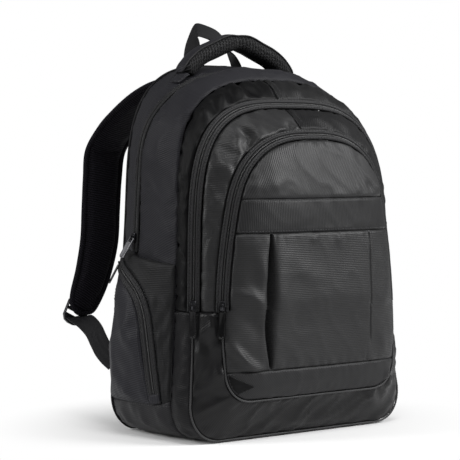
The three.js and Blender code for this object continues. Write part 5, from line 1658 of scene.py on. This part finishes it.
    def zip(self, shell: Points, line: Points, side: Points, hand: float, name: str) -> None:
        """Build the zip of a pocket, its coil and the tab at its lower end."""
        keep = line[:, 1] > self.low + 2
        line = resample(np.concatenate([line[keep], side[keep]], 1), 3.0)[:, :2]
        way = unit(np.gradient(line, axis=0))
        side = np.stack([way[:, 1], -way[:, 0]], 1)
        reach = self.zip_width / 2 - 0.1
        rows, profile = [], self.zips.profile()
        for across, _ in profile:
            place = line + side * across * reach
            y = np.minimum(place[:, 0], np.interp(place[:, 1], shell[0, :, 2], shell[0, :, 1]))
            rows.append(self.drop(shell, y, np.clip(place[:, 1], self.low, self.top)))
        base = np.stack(rows)
        normal = grid_normals(base, POCKET_HEART)
        grid = base + normal * (1.5 * profile[:, 1] + 0.2)[:, None, None]
        mirror = np.array([hand, 1, 1])
        v = arc_length(grid, 0)
        u = np.broadcast_to(arc_length(line, 0), v.shape)
        piece = self.shop.sheet(f"side_pocket_zip_{name}_tape", grid * mirror, v / v[-1:] * 20, u, 1.2,
                                POCKET_HEART)
        self.shop.dress(piece, "zip_tape", "zip_tape", [f"side_pocket_zip_{name}"])
        middle = (base[11] + base[12]) / 2 * mirror
        ups = unit(normal[11] + normal[12]) * mirror
        self.zips.coil(f"side_pocket_zip_{name}_coil", middle + ups * 0.2, ups)
        self.sewing.stitches(f"side_pocket_zip_{name}", grid * mirror, normal * mirror, ZIP_THREADS, "zip_tape")
        self.tab(base, normal, mirror, name)

    def tab(self, base: Points, normal: Points, mirror: Points, name: str) -> None:
        """Build the cloth tab over the zip's lower end."""
        pick = [0, 3, 6, 9, 11, 12, 14, 17, 20, 23]
        grid = base[pick, :5] + normal[pick, :5] * 2.1
        grid[[0, -1]] -= normal[[0, -1]][:, :5] * 1.4
        grid[:, [0, -1]] -= normal[pick][:, [0, 4]] * 0.8
        v, u = arc_length(grid, 0), arc_length(grid, 1)
        piece = self.shop.sheet(f"side_zip_tab_{name}", grid * mirror, u, v, 0.8, POCKET_HEART)
        self.shop.dress(piece, "pocket_cloth", "smooth")


@dataclass
class Padding:
    """Foam pieces, swelled by a cloth simulation between their sewn lines."""

    shop: Workshop
    frames: int = 20
    quality: int = 5
    mass: float = 0.3
    stiffness: float = 15
    bending: float = 0.5
    waiting: list[tuple[Any, float, Points]] = field(default_factory=list)

    def prepare(self, piece: Any, voxel: float, pressure: float, cap: float) -> None:
        """Remesh a closed piece evenly and give it Cloth, ready to swell.

        Args:
            piece: The closed piece.
            voxel: The size of the remesh's cells in millimetres.
            pressure: The pressure inside.
            cap: How far a point may move, in millimetres.
        """
        apply_modifier(piece, "REMESH", mode="VOXEL", voxel_size=voxel * MM, use_smooth_shade=True)
        apply_modifier(piece, "SMOOTH", factor=0.5, iterations=2)
        rest = vertices(piece)
        cloth = piece.modifiers.new("cloth", "CLOTH")
        settings = cloth.settings
        settings.quality, settings.mass = self.quality, self.mass
        settings.use_pressure, settings.uniform_pressure_force = True, pressure
        settings.tension_stiffness = settings.compression_stiffness = self.stiffness
        settings.bending_stiffness = self.bending
        settings.effector_weights.gravity = 0
        cloth.collision_settings.use_collision = False
        cloth.point_cache.frame_start, cloth.point_cache.frame_end = 1, self.frames
        self.waiting.append((piece, cap, rest))

    def swell(self) -> None:
        """Run the simulation for all the waiting pieces at once and keep its result."""
        if not self.waiting:
            return
        for frame in range(1, self.frames + 1):
            bpy.context.scene.frame_set(frame)
        for piece, cap, rest in self.waiting:
            select_only(piece)
            bpy.ops.object.modifier_apply(modifier="cloth")
            move = vertices(piece) - rest
            far = np.linalg.norm(move, axis=1, keepdims=True)
            now = rest + move * np.minimum(1, cap * MM / np.maximum(far, 1e-9))
            piece.data.vertices.foreach_set("co", now.astype(np.float32).ravel())
            piece.data.update()
        bpy.context.scene.frame_set(1)
        LOG.info("swelled %d padded pieces", len(self.waiting))
        self.waiting.clear()


@dataclass
class BackPad:
    """The padded panel against the wearer's back, with sewn channels and a bound edge."""

    shop: Workshop
    sewing: Sewing
    thickness: float = 11
    bulge: float = 7
    step: float = 4.5
    channels: tuple[float, ...] = (120.0, 225.0, 330.0)
    spine: float = 0.145

    def build(self) -> None:
        """Build the panel and its binding."""
        s = BACK.s(rim_places(1200, 400))
        rim = SEAM_BACK.points(s) - SEAM_BACK.normals(s) * 0.2
        sole, top = float(rim[0, 2]), float(rim[-1, 2])
        z = lerp(sole, top, distances(top - sole, step=self.step))
        half, depth = rim_at(rim, z)
        share = 2 * distances(330, step=self.step) - 1
        x, zz = share[None] * half[:, None], np.broadcast_to(z[:, None], (len(z), len(share)))
        rise = np.clip(2 * (zz - sole) / (top - sole) - 1, -1, 1)
        form = np.maximum(1 - np.abs(share[None]) ** 4, 0) ** 0.8 * np.maximum(1 - np.abs(rise) ** 4, 0) ** 0.8
        bed = depth[:, None] + np.zeros_like(x)
        points = np.stack([x, bed, zz], -1)
        gap = edge_distance(points, [resample(rim * [1, 1, 1], 2), resample(rim * [-1, 1, 1], 2)])
        off_spine = np.abs(x) / (BODY.width / 2) - self.spine
        spine = smooth(-off_spine / 0.05)
        sewn = sum(np.exp(-((zz - level) / 3.2) ** 2) for level in self.channels) * (1 - spine) * smooth(gap / 12)
        edge_line = np.exp(-(off_spine / 0.016) ** 2)
        soft = 0.6 * gradient_noise(x / 40, zz / 40, 101) * smooth(gap / 20)
        height = (self.bulge + 2.2) * form - 4.6 * spine * form - 4.2 * sewn * form - 2.0 * edge_line * form + soft
        height = height + 1.5 * (1 - np.exp(-gap / 8)) - 1.2
        outer = points + REARWARD * height[..., None]
        wall = lerp(2.5, self.thickness, form)
        inner = outer - REARWARD * wall[..., None]
        piece = closed_between("back_panel_pad", outer, inner, x, zz)
        self.shop.dress(piece, "air_mesh", "mesh", ["back_panel"])
        self.bind(rim)
        levels = [int(np.argmin(np.abs(z - level))) for level in self.channels]
        cut = slice(8, -8)
        self.sewing.stitches("back_panel", outer, np.broadcast_to(REARWARD, outer.shape),
                             [(level, cut) for level in levels], "mesh")

    def bind(self, rim: Points) -> None:
        """Lay the binding round the edge of the panel."""
        right = resample(rim, 3)
        left = right[::-1] * [-1, 1, 1]
        path = np.concatenate([right, left[1:-1]])
        path[:, 2] = np.maximum(path[:, 2], 2.2)
        closed = np.concatenate([path, path[:1]])
        rings = tube(closed, (2.2, 1.9), 10, np.broadcast_to(REARWARD, closed.shape))[:-1]
        rings = rings + REARWARD * 0.6
        length = arc_length(rings, 0)
        uv = np.stack([length.ravel(), np.broadcast_to(np.arange(10.0), length.shape).ravel()], 1)
        faces = grid_faces(len(rings), 10, wrap_rows=True, wrap_columns=True)
        piece = make_mesh("back_binding", rings.reshape(-1, 3), faces, uv)
        self.shop.dress(piece, "webbing", "webbing")


@dataclass
class TopHandle:
    """The padded carry handle, the covers of its ends and the hang loop."""

    shop: Workshop
    sewing: Sewing
    padding: Padding
    width: float = 28
    thickness: float = 23
    reach: float = 82
    depth: float = 47
    foot: float = 449
    peak: float = 488
    power: float = 1.6
    loop_width: float = 25
    loop_wall: float = 1.8
    # Each row holds a place on the loop's rear edge, then the one across from it on its fore edge
    loop_rows: tuple[tuple[float, ...], ...] = (
        (-53, 85.8, 446, -48.5, 61.3, 446), (-53.5, 85.5, 460, -47, 61.3, 459),
        (-54, 84.5, 471, -45.5, 61.4, 470), (-50.5, 85.6, 483, -46.5, 61.3, 481),
        (-44.6, 85, 497, -48, 62, 489.5), (-40.2, 82.4, 508, -47.8, 64.6, 493),
        (-36.3, 81, 511.5, -44.7, 66, 494.3), (-26, 80.2, 510.3, -38, 66.8, 493.4),
        (-6.6, 78.8, 504, -24, 68.2, 489.8), (5.4, 78.4, 494.5, -14.7, 68.6, 483.2),
        (13, 82.5, 483, 0, 63.5, 478), (18.5, 85, 473, 11, 61.8, 471.5),
        (24, 85.6, 461.5, 19.5, 61.3, 461), (28, 85.8, 448, 25.5, 61.3, 448))

    def line(self, count: int) -> Points:
        """Return the handle's centre line from the left foot to the right."""
        angle = np.linspace(0, np.pi, count)
        x = -self.reach * np.cos(angle)
        sag = 3.4 * np.exp(-((np.abs(x) - 38) / 20) ** 2)
        z = lerp(self.foot - 5, self.peak - 1, np.sin(angle) ** self.power) - sag
        y = self.depth + 1.2 * np.exp(-((x + 6) / 10) ** 2)
        return np.stack([x, np.broadcast_to(y, x.shape), z], 1)

    def build(self) -> None:
        """Build the handle, its covers and the loop."""
        self.grip()
        for hand, side in SIDES:
            self.cover(hand, side)
        self.loop()

    def sections(self, path: Points, low: float, high: float, scale: float, count: int) -> Points:
        """Return part of the handle's oval rings, between two angles round its line.

        Args:
            path: The handle's centre line.
            low: The first angle in degrees, 0 towards the back and 90 on top.
            high: The last angle.
            scale: The size of the section.
            count: Points along the arc.

        Returns:
            A grid of points, one row for each place on the line.
        """
        along = unit(np.gradient(path, axis=0))
        across = np.broadcast_to(REARWARD, path.shape)
        out = unit(np.cross(along, across))
        out = np.where(out[:, 2:3] < 0, -out, out)
        out[[0, -1]] = out[[1, -2]]
        angle = np.radians(np.linspace(low, high, count))
        k = np.linspace(-1, 1, len(path))
        pinch = 1 - 0.2 * np.exp(-((np.abs(k) - 1) / 0.08) ** 2) - 0.17 * np.exp(-(k / 0.07) ** 2)
        turns = np.tile(angle * 1.5, (len(path), 1))
        wave = 1 + 0.018 * gradient_noise(np.repeat(k[:, None] * 9, count, 1), turns, 111)
        cos, sin = np.cos(angle), np.sin(angle)
        across_size = self.width / 2 * scale * (np.abs(cos) ** 0.8 * np.sign(cos))
        out_size = self.thickness / 2 * scale * (np.abs(sin) ** 0.9 * np.sign(sin))
        across_part = across[:, None] * across_size[None, :, None]
        out_part = out[:, None] * out_size[None, :, None]
        return path[:, None] + (across_part + out_part) * (pinch[:, None] * wave)[..., None]

    def grip(self) -> None:
        """Build the padded handle: mesh below and in front, smooth cloth above and behind."""
        path = self.line(110)
        core = self.sections(path, 0, 360 - 360 / 28, 0.97, 28)
        piece = make_mesh("grip_pad", core.reshape(-1, 3), capped_faces(*core.shape[:2]))
        self.padding.prepare(piece, 3.2, 4.0, 1.6)
        self.pad = piece
        top = self.sections(path, -50, 122, 1.05, 26)
        length, round_it = arc_length(top, 0), arc_length(top, 1)
        cover = self.shop.sheet("grip_cover", top, length, round_it, 1.2, GRIP_HEART)
        self.shop.dress(cover, "gusset_cloth", "smooth")
        edges = [top[3:-3, 0], top[3:-3, -1]]
        ups = [unit(edge - path[3:-3]) for edge in edges]
        for number, (edge, up) in enumerate(zip(edges, ups)):
            self.sewing.piping(f"grip_piping_{number}", resample(edge, 1.5), self.ups_along(edge, up, 1.5), 1.0,
                               "zip_tape", "smooth")

    def ups_along(self, edge: Points, up: Points, step: float) -> Points:
        """Return the directions out of the surface at the points of a resampled edge."""
        both = resample(np.concatenate([edge, up * 0.001], axis=1), step)
        return unit(both[:, 3:])

    def finish_grip(self) -> None:
        """Dress the handle's pad after it has swelled."""
        path = self.line(240)

        def around(points: Points) -> Points:
            """Return the place along and round the handle."""
            place = np.clip(np.searchsorted(path[:, 0], points[:, 0]), 1, len(path) - 1)
            length = arc_length(path, 0)
            centre = path[place]
            angle = np.arctan2(points[:, 2] - centre[:, 2], points[:, 1] - centre[:, 1])
            return np.stack([length[place], angle * self.width / 2], 1)

        apply_modifier(self.pad, "SUBSURF", levels=1, render_levels=1)
        set_cloth_map(self.pad.data, around(vertices(self.pad) / MM))
        self.shop.dress(self.pad, "air_mesh", "mesh", ["grip"])

    def cover(self, hand: int, side: str) -> None:
        """Build the sewn-down end of the handle's cover."""
        count, wide = 14, 12
        k = np.linspace(0, 1, count)
        x = self.reach * hand + hand * (2 + 16 * k)
        arch = np.interp(np.abs(x), *self.arch_table())
        z = arch + lerp(2.0, 0.4, smooth(k * 1.2))
        across = np.linspace(-1, 1, wide)
        width = lerp(12.5, 10.5, k)
        crown = (1 - np.abs(across) ** 2.6)[None] * lerp(5.0, 0.7, smooth(k * 1.2))[:, None]
        normal = np.array([hand * 0.45, 0, 0.9])
        points = np.stack([np.repeat(x[:, None], wide, 1), self.depth + across[None] * width[:, None],
                           np.repeat(z[:, None], wide, 1)], -1) + crown[..., None] * normal
        u, v = arc_length(points, 0), arc_length(points, 1)
        piece = self.shop.sheet(f"grip_end_{side}_cover", points, u, v, 1.4, GRIP_END_HEART)
        self.shop.dress(piece, "gusset_cloth", "smooth", [f"grip_end_{side}"])
        normal_rows = grid_normals(points, GRIP_END_HEART)
        self.sewing.stitches(f"grip_end_{side}", points, normal_rows,
                             (np.s_[-3, 1:-1], np.s_[3:, 1], np.s_[3:, -2]), "smooth")

    def arch_table(self) -> tuple[Points, Points]:
        """Return half widths and heights of the gusset's top under the handle."""
        t = np.linspace(Station.CROWN, Station.ARCH_START, 400)
        ring = lerp(BACK.edge(t, -1), LAPTOP.edge(t, 1), 0.6)
        return ring[:, 0], ring[:, 2] + 2.6

    def loop(self) -> None:
        """Build the hang loop of webbing, which folds aslant at its peak."""
        full = spline(np.array(self.loop_rows), 8)
        rear, fore = full[:, :3], full[:, 3:]
        self.shop.ribbon("hang_loop_webbing", (rear + fore) / 2, rear - fore, self.loop_width, self.loop_wall,
                         "hang_loop", aslant=True)


@dataclass
class Straps:
    """The padded shoulder straps with their binding, locks and lower webbing."""

    shop: Workshop
    sewing: Sewing
    padding: Padding
    width: float = 64
    thickness: float = 13
    reach: float = 116
    gap: float = 0.45
    webbing: float = 25
    webbing_wall: float = 1.8
    lock_length: float = 22
    lock_thickness: float = 4
    lock_rail: float = 4
    anchor: float = 84
    pads: dict[str, Any] = field(default_factory=dict)
    # Each row is a knot: x, y and z as shares of half the body's width, of the reach and of the body's height,
    # and its width as a share of the strap's
    table: tuple[tuple[float, float, float, float], ...] = (
        (0.38, -0.03, 0.945, 0.92), (0.41, 0.12, 0.935, 0.95), (0.45, 0.35, 0.906, 0.98),
        (0.48, 0.58, 0.867, 0.99), (0.512, 0.79, 0.821, 0.98), (0.543, 0.98, 0.757, 0.94),
        (0.555, 1.015, 0.68, 0.9), (0.569, 1.02, 0.59, 0.885), (0.595, 1, 0.5, 0.87), (0.665, 0.98, 0.41, 0.8),
        (0.745, 0.965, 0.345, 0.7), (0.785, 0.96, 0.317, 0.56), (0.8, 0.955, 0.304, 0.3))

    def places(self) -> Points:
        """Return the strap's knots: x, y, z and half its width."""
        rows = np.array(self.table)
        return np.stack([rows[:, 0] * BODY.width / 2, BODY.back_plane + rows[:, 1] * self.reach,
                         rows[:, 2] * BODY.height, rows[:, 3] * self.width / 2], 1)

    def rings(self, scale: float, around: int) -> tuple[Points, Points, Points, Points]:
        """Return the strap's sections, its line, its side direction and its outward direction."""
        line = spline(self.places(), 9)
        path, half = line[:, :3], line[:, 3]
        along = unit(np.gradient(path, axis=0))
        side = unit(SIDEWAYS - along * (along @ SIDEWAYS)[:, None])
        out = np.cross(side, along)
        angle = np.arange(around) * 2 * np.pi / around
        u = np.sign(np.cos(angle)) * np.abs(np.cos(angle)) ** 0.5
        v = np.sign(np.sin(angle)) * np.abs(np.sin(angle)) ** 0.75
        section = side[:, None] * (u[None] * half[:, None] * scale)[..., None] \
            + out[:, None] * (v * self.thickness / 2 * scale)[None, :, None]
        return path[:, None] + section, path, side, out

    def build(self) -> None:
        """Build both straps."""
        for hand, side in SIDES:
            rings, _, _, _ = self.rings(0.93, 26)
            piece = make_mesh(f"shoulder_strap_{side}_pad", (rings * [hand, 1, 1]).reshape(-1, 3),
                              capped_faces(*rings.shape[:2]))
            self.padding.prepare(piece, 4.0, 3.0, 1.5)
            self.pads[side] = piece
            self.binding(hand, side)
            self.lock(side)
            self.loop(hand, side)
            self.lower_webbing(hand, side)

    def finish_pads(self) -> None:
        """Dress the pads after they have swelled."""
        path = spline(self.places(), 9)[:, :3]
        length, along = arc_length(path, 0), unit(np.gradient(path, axis=0))

        def flat(points: Points) -> Points:
            """Return the place across and along the strap."""
            mirrored = points * np.where(points[:, :1] < 0, [-1, 1, 1], [1, 1, 1])
            nearest = np.empty(len(points), int)
            for start in range(0, len(points), 4000):
                part = mirrored[start:start + 4000]
                nearest[start:start + 4000] = np.linalg.norm(part[:, None] - path[None], axis=2).argmin(1)
            beyond = ((mirrored - path[nearest]) * along[nearest]).sum(1)
            return np.stack([mirrored[:, 0] - path[nearest, 0], length[nearest] + beyond], 1)

        for side, piece in self.pads.items():
            apply_modifier(piece, "SUBSURF", levels=1, render_levels=1)
            set_cloth_map(piece.data, flat(vertices(piece) / MM))
            self.shop.dress(piece, "strap_mesh", "mesh", [f"shoulder_strap_{side}"])

    def binding(self, hand: float, name: str) -> None:
        """Lay the tape that binds the strap's edge, down one side, round the end and up the other."""
        _, path, side, out = self.rings(1, 8)
        half = spline(self.places(), 9)[:, 3]
        reach = (half - 1.6)[:, None]
        right, left = path + side * reach, path - side * reach
        down = unit(path[-1] - path[-3])
        angle = np.linspace(0, np.pi, 13)[1:-1]
        arc = path[-1] + side[-1] * (reach[-1] * np.cos(angle))[:, None] + down * (3.0 * np.sin(angle))[:, None]
        line = np.concatenate([right[2:], arc, left[:1:-1]])
        ups = np.concatenate([out[2:], np.repeat(out[-1:], len(arc), 0), out[:1:-1]])
        both = resample(np.concatenate([line, ups * 0.001], 1), 3.0)
        rings = tube(both[:, :3], (3.6, 3.3), 10, unit(both[:, 3:])) * [hand, 1, 1]
        self.shop.ringed(f"strap_binding_{name}", rings, np.arange(10.0) * 1.6, "strap_mesh", "webbing",
                         turned=True)

    def lock_axes(self) -> tuple[Points, Points, Points, Points]:
        """Return the place of the lock, its side, its way down and its way out."""
        places = self.places()[:, :3]
        high, low = places[-3], places[-1]
        down = unit(low - high)
        clear = self.thickness / 2 + self.webbing_wall + 3 * self.gap + self.lock_thickness / 2
        out = REARWARD
        down = unit(down - out * (down @ out))
        return low + REARWARD * clear, np.cross(down, out), down, out

    def lock(self, side: str) -> None:
        """Round the edges of the plastic lock, from a merged copy of its solid."""
        node = f"ladder_lock_{side}"
        piece = merged_copy(self.shop, node, f"{node}_moulding")
        round_edges(piece, 0.7, 3, 28)
        self.shop.dress(piece, "lock_plastic", "plastic", [node])

    def loop(self, hand: float, side: str) -> None:
        """Build the sewn webbing that holds the lock."""
        place, _, down, out = self.lock_axes()
        lift = self.thickness / 2 + self.gap + self.webbing_wall / 2
        sewn = self.places()[-5:-3, :3] + REARWARD * lift
        rail = place - down * (self.lock_length - self.lock_rail) / 2 \
            - out * ((self.lock_thickness + self.webbing_wall) / 2 + self.gap)
        knots = np.concatenate([sewn, [lerp(sewn[-1], rail, 0.5) + REARWARD * 0.6], [rail]])
        path = spline(knots, 8)
        across = np.broadcast_to(SIDEWAYS, path.shape)
        self.shop.ribbon(f"lock_loop_{side}_webbing", path * [hand, 1, 1], across, self.webbing,
                         self.webbing_wall, f"lock_loop_{side}")

    def lower_webbing(self, hand: float, side: str) -> None:
        """Build the webbing from the lock to the back seam, with its twist."""
        # Each row holds a share of the way, its move inwards and down in widths, and the band's direction across
        rows = np.array([
            (0, 0, 0, 1, 0, 0.05), (0.1, 0.1, -0.12, 1, -0.1, 0.3), (0.22, 0.2, -0.25, 0.8, -0.3, 0.6),
            (0.36, 0.3, -0.15, 0.65, -0.45, 0.66), (0.5, 0.25, 0.05, 0.62, -0.4, 0.68),
            (0.66, 0.1, 0.1, 0.66, -0.2, 0.7), (0.84, 0, 0.06, 0.7, 0, 0.7), (1, 0, 0, 0.7, 0, 0.7)])
        place, _, down, out = self.lock_axes()
        start = place + down * (self.lock_length - self.lock_rail) / 2 \
            - out * ((self.lock_thickness + self.webbing_wall) / 2 + self.gap)
        end = SEAM_BACK.points(SEAM_BACK.parameter(self.anchor)) + REARWARD * self.gap
        aside = np.stack([-rows[:, 1], 0 * rows[:, 1], -rows[:, 2]], 1)
        knots = lerp(start, end, rows[:, :1]) + aside * self.webbing
        full = spline(np.concatenate([knots, rows[:, 3:] * [-1, 1, 1]], 1), 8)
        mirror = np.array([hand, 1, 1])
        self.shop.ribbon(f"strap_webbing_{side}_band", full[:, :3] * mirror, full[:, 3:] * mirror, self.webbing,
                         self.webbing_wall, f"strap_webbing_{side}")


def merged_copy(shop: Workshop, node: str, name: str) -> Any:
    """Return a copy of a solid with its loose triangles merged into flat faces, open in edit mode."""
    piece = bpy.data.objects.new(name, shop.frame["nodes"][node].data.copy())
    bpy.context.scene.collection.objects.link(piece)
    select_only(piece)
    bpy.ops.object.mode_set(mode="EDIT")
    bpy.ops.mesh.select_all(action="SELECT")
    bpy.ops.mesh.remove_doubles(threshold=WELD)
    bpy.ops.mesh.dissolve_limited(angle_limit=math.radians(1.5))
    return piece


def round_edges(piece: Any, radius: float, segments: int, sharp: float) -> None:
    """Leave edit mode and round the edges of a piece that turn by more than an angle.

    Args:
        piece: The piece, open in edit mode.
        radius: The radius of the rounding in millimetres.
        segments: Steps of the rounding.
        sharp: The angle in degrees.
    """
    bpy.ops.mesh.select_all(action="DESELECT")
    bpy.ops.object.mode_set(mode="OBJECT")
    apply_modifier(piece, "BEVEL", width=radius * MM, segments=segments, limit_method="ANGLE",
                   angle_limit=math.radians(sharp), use_clamp_overlap=True)
    select_only(piece)
    bpy.ops.object.shade_smooth_by_angle(angle=math.radians(40))
    if not piece.data.uv_layers:
        piece.data.uv_layers.new(name=CLOTH_MAP)


@dataclass
class ZipFittings:
    """Sliders and pulls, rounded and relieved."""

    shop: Workshop
    margin: float = 1.5
    panel_depth: float = 0.35

    def build(self) -> None:
        """Dress every slider and pull."""
        pulls = {"laptop_pull": "grey_pull", "mid_pull": "mid_plastic", "front_pull": "black_plastic",
                 "side_pull_right": "black_plastic", "side_pull_left": "black_plastic"}
        for node, finish in pulls.items():
            self.pull(node, finish)
        for name in ("laptop", "mid", "front"):
            self.slider(f"{name}_slider")
        for _, side in SIDES:
            self.slider(f"side_slider_{side}")

    def slider(self, node: str) -> None:
        """Round a slider."""
        piece = merged_copy(self.shop, node, f"{node}_casting")
        round_edges(piece, 0.45, 2, 28)
        self.shop.dress(piece, "dark_metal", "metal", [node])

    def pull(self, node: str, finish: str) -> None:
        """Round a pull and press a shallow panel into both its faces."""
        joint = next(j for j in self.shop.frame["joints"] if j["child"] == node)
        pivot, axis = Vector(joint["pos_m"]), Vector(joint["axis"]).normalized()
        corners = self.shop.frame["nodes"][node].data.vertices
        centre = sum((vertex.co for vertex in corners), Vector()) / len(corners)
        down = centre - pivot
        down = (down - axis * down.dot(axis)).normalized()
        face = axis.cross(down)
        piece = merged_copy(self.shop, node, f"{node}_tab")
        for sign in (1, -1):
            bpy.ops.mesh.select_all(action="DESELECT")
            faces = bmesh.from_edit_mesh(piece.data).faces
            facing = [f for f in faces if f.normal.dot(face) * sign > 0.95]
            max(facing, key=lambda f: f.calc_area()).select_set(True)
            bmesh.update_edit_mesh(piece.data)
            bpy.ops.mesh.inset(thickness=self.margin * MM, depth=0)
            bpy.ops.mesh.inset(thickness=self.panel_depth * MM, depth=-self.panel_depth * MM)
        round_edges(piece, 0.3, 2, 35)
        self.shop.dress(piece, finish, "plastic", [node], body=node)


@dataclass
class SeamPiping:
    """The pale twisted piping in the lower mid seam and round the foot of the front pocket."""

    sewing: Sewing
    radius: float = 1.2

    def build(self) -> None:
        """Lay both lengths of piping."""
        for name, outline, lift in (("mid_piping", MID, 0.3), ("front_piping", FRONT, 0.9)):
            half = np.linspace(Station.SPLIT_LOW, 0, 700)
            right = outline.place(half, np.zeros_like(half)) + outline.out(half) * lift
            ups = outline.out(half)
            both = np.concatenate([right, ups * 0.001], 1)
            left = both * [-1, 1, 1, -1, 1, 1]
            full = resample(np.concatenate([left, both[-2::-1]]), 1.3)
            full[:, 2] = np.maximum(full[:, 2], self.radius * 1.25)
            self.sewing.piping(name, full[:, :3], unit(full[:, 3:]), self.radius, "piping", "satin")


@dataclass
class Studio:
    """The pale floor, the soft lights and the camera."""

    focal_pixels: float = 1900
    frame_pixels: float = 460
    distance: float = 2.405
    azimuth: float = -40
    elevation: float = 2.4
    target: tuple[float, float, float] = (0, 0, 0.25)
    target_pixel: tuple[float, float] = (259, 229)
    sensor: float = 36
    sky: float = 0.19
    # Each lamp's name, place in metres, width and power
    lamps: tuple[tuple[str, tuple[float, float, float], float, float], ...] = (
        ("key", (1.7, -2.0, 1.7), 1.5, 100), ("side", (-2.3, 1.0, 1.5), 1.3, 42),
        ("top", (-0.6, -1.2, 2.6), 1.2, 34))

    def build(self) -> None:
        """Build the studio."""
        self.camera()
        self.backdrop()
        self.floor()
        self.lights()

    def camera(self) -> None:
        """Place the camera at the photograph's angle."""
        data = bpy.data.cameras.new("camera")
        camera = bpy.data.objects.new("camera", data)
        bpy.context.scene.collection.objects.link(camera)
        a, e = math.radians(self.azimuth), math.radians(self.elevation)
        back = Vector((math.sin(a) * math.cos(e), -math.cos(a) * math.cos(e), math.sin(e)))
        camera.location = Vector(self.target) + back * self.distance
        camera.rotation_mode = "QUATERNION"
        camera.rotation_quaternion = (-back).to_track_quat("-Z", "Y")
        data.sensor_width = self.sensor
        data.lens = self.sensor * self.focal_pixels / self.frame_pixels
        middle = self.frame_pixels / 2
        data.shift_x = (middle - self.target_pixel[0]) / self.frame_pixels
        data.shift_y = (self.target_pixel[1] - middle) / self.frame_pixels
        data.clip_start, data.clip_end = 0.01, 100
        bpy.context.scene.camera = camera

    def backdrop(self) -> None:
        """Hang a plain white backdrop all round, which the camera sees and which lights nothing."""
        bpy.ops.object.select_all(action="DESELECT")
        bpy.ops.mesh.primitive_uv_sphere_add(segments=48, ring_count=24, radius=14, location=(0, 0, 0))
        backdrop = bpy.context.active_object
        backdrop.name = "backdrop"
        shader = Shader("white_backdrop")
        light = shader.node("ShaderNodeEmission", None, {"Color": (1, 1, 1, 1), "Strength": 1.0})
        shader.node("ShaderNodeOutputMaterial", None, {"Surface": light.outputs[0]})
        backdrop.data.materials.append(shader.material)
        for kind in ("diffuse", "glossy", "transmission", "volume_scatter", "shadow"):
            setattr(backdrop, f"visible_{kind}", False)

    def floor(self) -> None:
        """Lay a pale floor that glows plain white away from the bag: painted light that fills in its cast shadow
        there.
        """
        bpy.ops.object.select_all(action="DESELECT")
        bpy.ops.mesh.primitive_circle_add(vertices=96, radius=1.3, fill_type="NGON", location=(0, 0, -0.0004))
        floor = bpy.context.active_object
        floor.name = "floor"
        shader = Shader("pale_floor")
        place = shader.node("ShaderNodeTexCoord").outputs["Object"]
        x, y, _ = shader.axes(place)
        away = (x * x + y * y) ** 0.5
        matt = shader.node("ShaderNodeBsdfDiffuse", None, {"Color": (0.85, 0.85, 0.85, 1)})
        # Painted light: the floor glows white beyond the bag's foot, which hides the cast shadow there
        white = shader.node("ShaderNodeEmission", None, {"Color": (1, 1, 1, 1), "Strength": 1.0})
        links = {0: away.between(0.12, 0.36), 1: matt.outputs[0], 2: white.outputs[0]}
        both = shader.node("ShaderNodeMixShader", None, links)
        shader.node("ShaderNodeOutputMaterial", None, {"Surface": both.outputs[0]})
        floor.data.materials.append(shader.material)

    def lamp(self, name: str, place: tuple[float, float, float], size: float, power: float) -> None:
        """Hang a square lamp that faces the bag."""
        data = bpy.data.lights.new(name, "AREA")
        data.shape, data.size, data.energy = "SQUARE", size, power
        lamp = bpy.data.objects.new(name, data)
        bpy.context.scene.collection.objects.link(lamp)
        lamp.location = place
        lamp.rotation_mode = "QUATERNION"
        lamp.rotation_quaternion = (Vector(self.target) - Vector(place)).to_track_quat("-Z", "Y")

    def lights(self) -> None:
        """Hang the lights and light the room."""
        world = bpy.context.scene.world or bpy.data.worlds.new("studio")
        bpy.context.scene.world = world
        world.use_nodes = True
        sky = world.node_tree.nodes.get("Background") or world.node_tree.nodes.new("ShaderNodeBackground")
        sky.inputs[0].default_value = (1, 1, 1, 1)
        sky.inputs[1].default_value = self.sky
        bpy.context.scene.view_settings.view_transform = "Standard"
        for lamp in self.lamps:
            self.lamp(*lamp)


def write_sizes() -> None:
    """Bring the view layer up to date."""
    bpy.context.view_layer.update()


def main() -> None:
    """Build the backpack piece by piece."""
    logging.basicConfig(level=logging.INFO, format="%(message)s")
    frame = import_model()
    bpy.ops.object.select_all(action="DESELECT")
    Studio().build()
    shop = Workshop(frame, Finishes())
    sewing = Sewing(shop)
    padding = Padding(shop)
    panels = BodyPanels(shop, sewing)
    zips = ZipBands(shop, sewing)
    handle = TopHandle(shop, sewing, padding)
    straps = Straps(shop, sewing, padding)
    steps: list[tuple[str, Callable[[], None]]] = [
        ("body panels", panels.build),
        ("front panels", FrontPanels(shop, sewing).build),
        ("zips", zips.build),
        ("side pockets", SidePockets(shop, panels, zips, sewing).build),
        ("piping", SeamPiping(sewing).build),
        ("back panel", BackPad(shop, sewing).build),
        ("handle", handle.build),
        ("straps", straps.build),
        ("swelling", padding.swell),
        ("handle pad", handle.finish_grip),
        ("strap pads", straps.finish_pads),
        ("fittings", ZipFittings(shop).build),
    ]
    for name, step in steps:
        step()
        LOG.info("built %s", name)
    write_sizes()


if __name__ == "__main__":
    main()
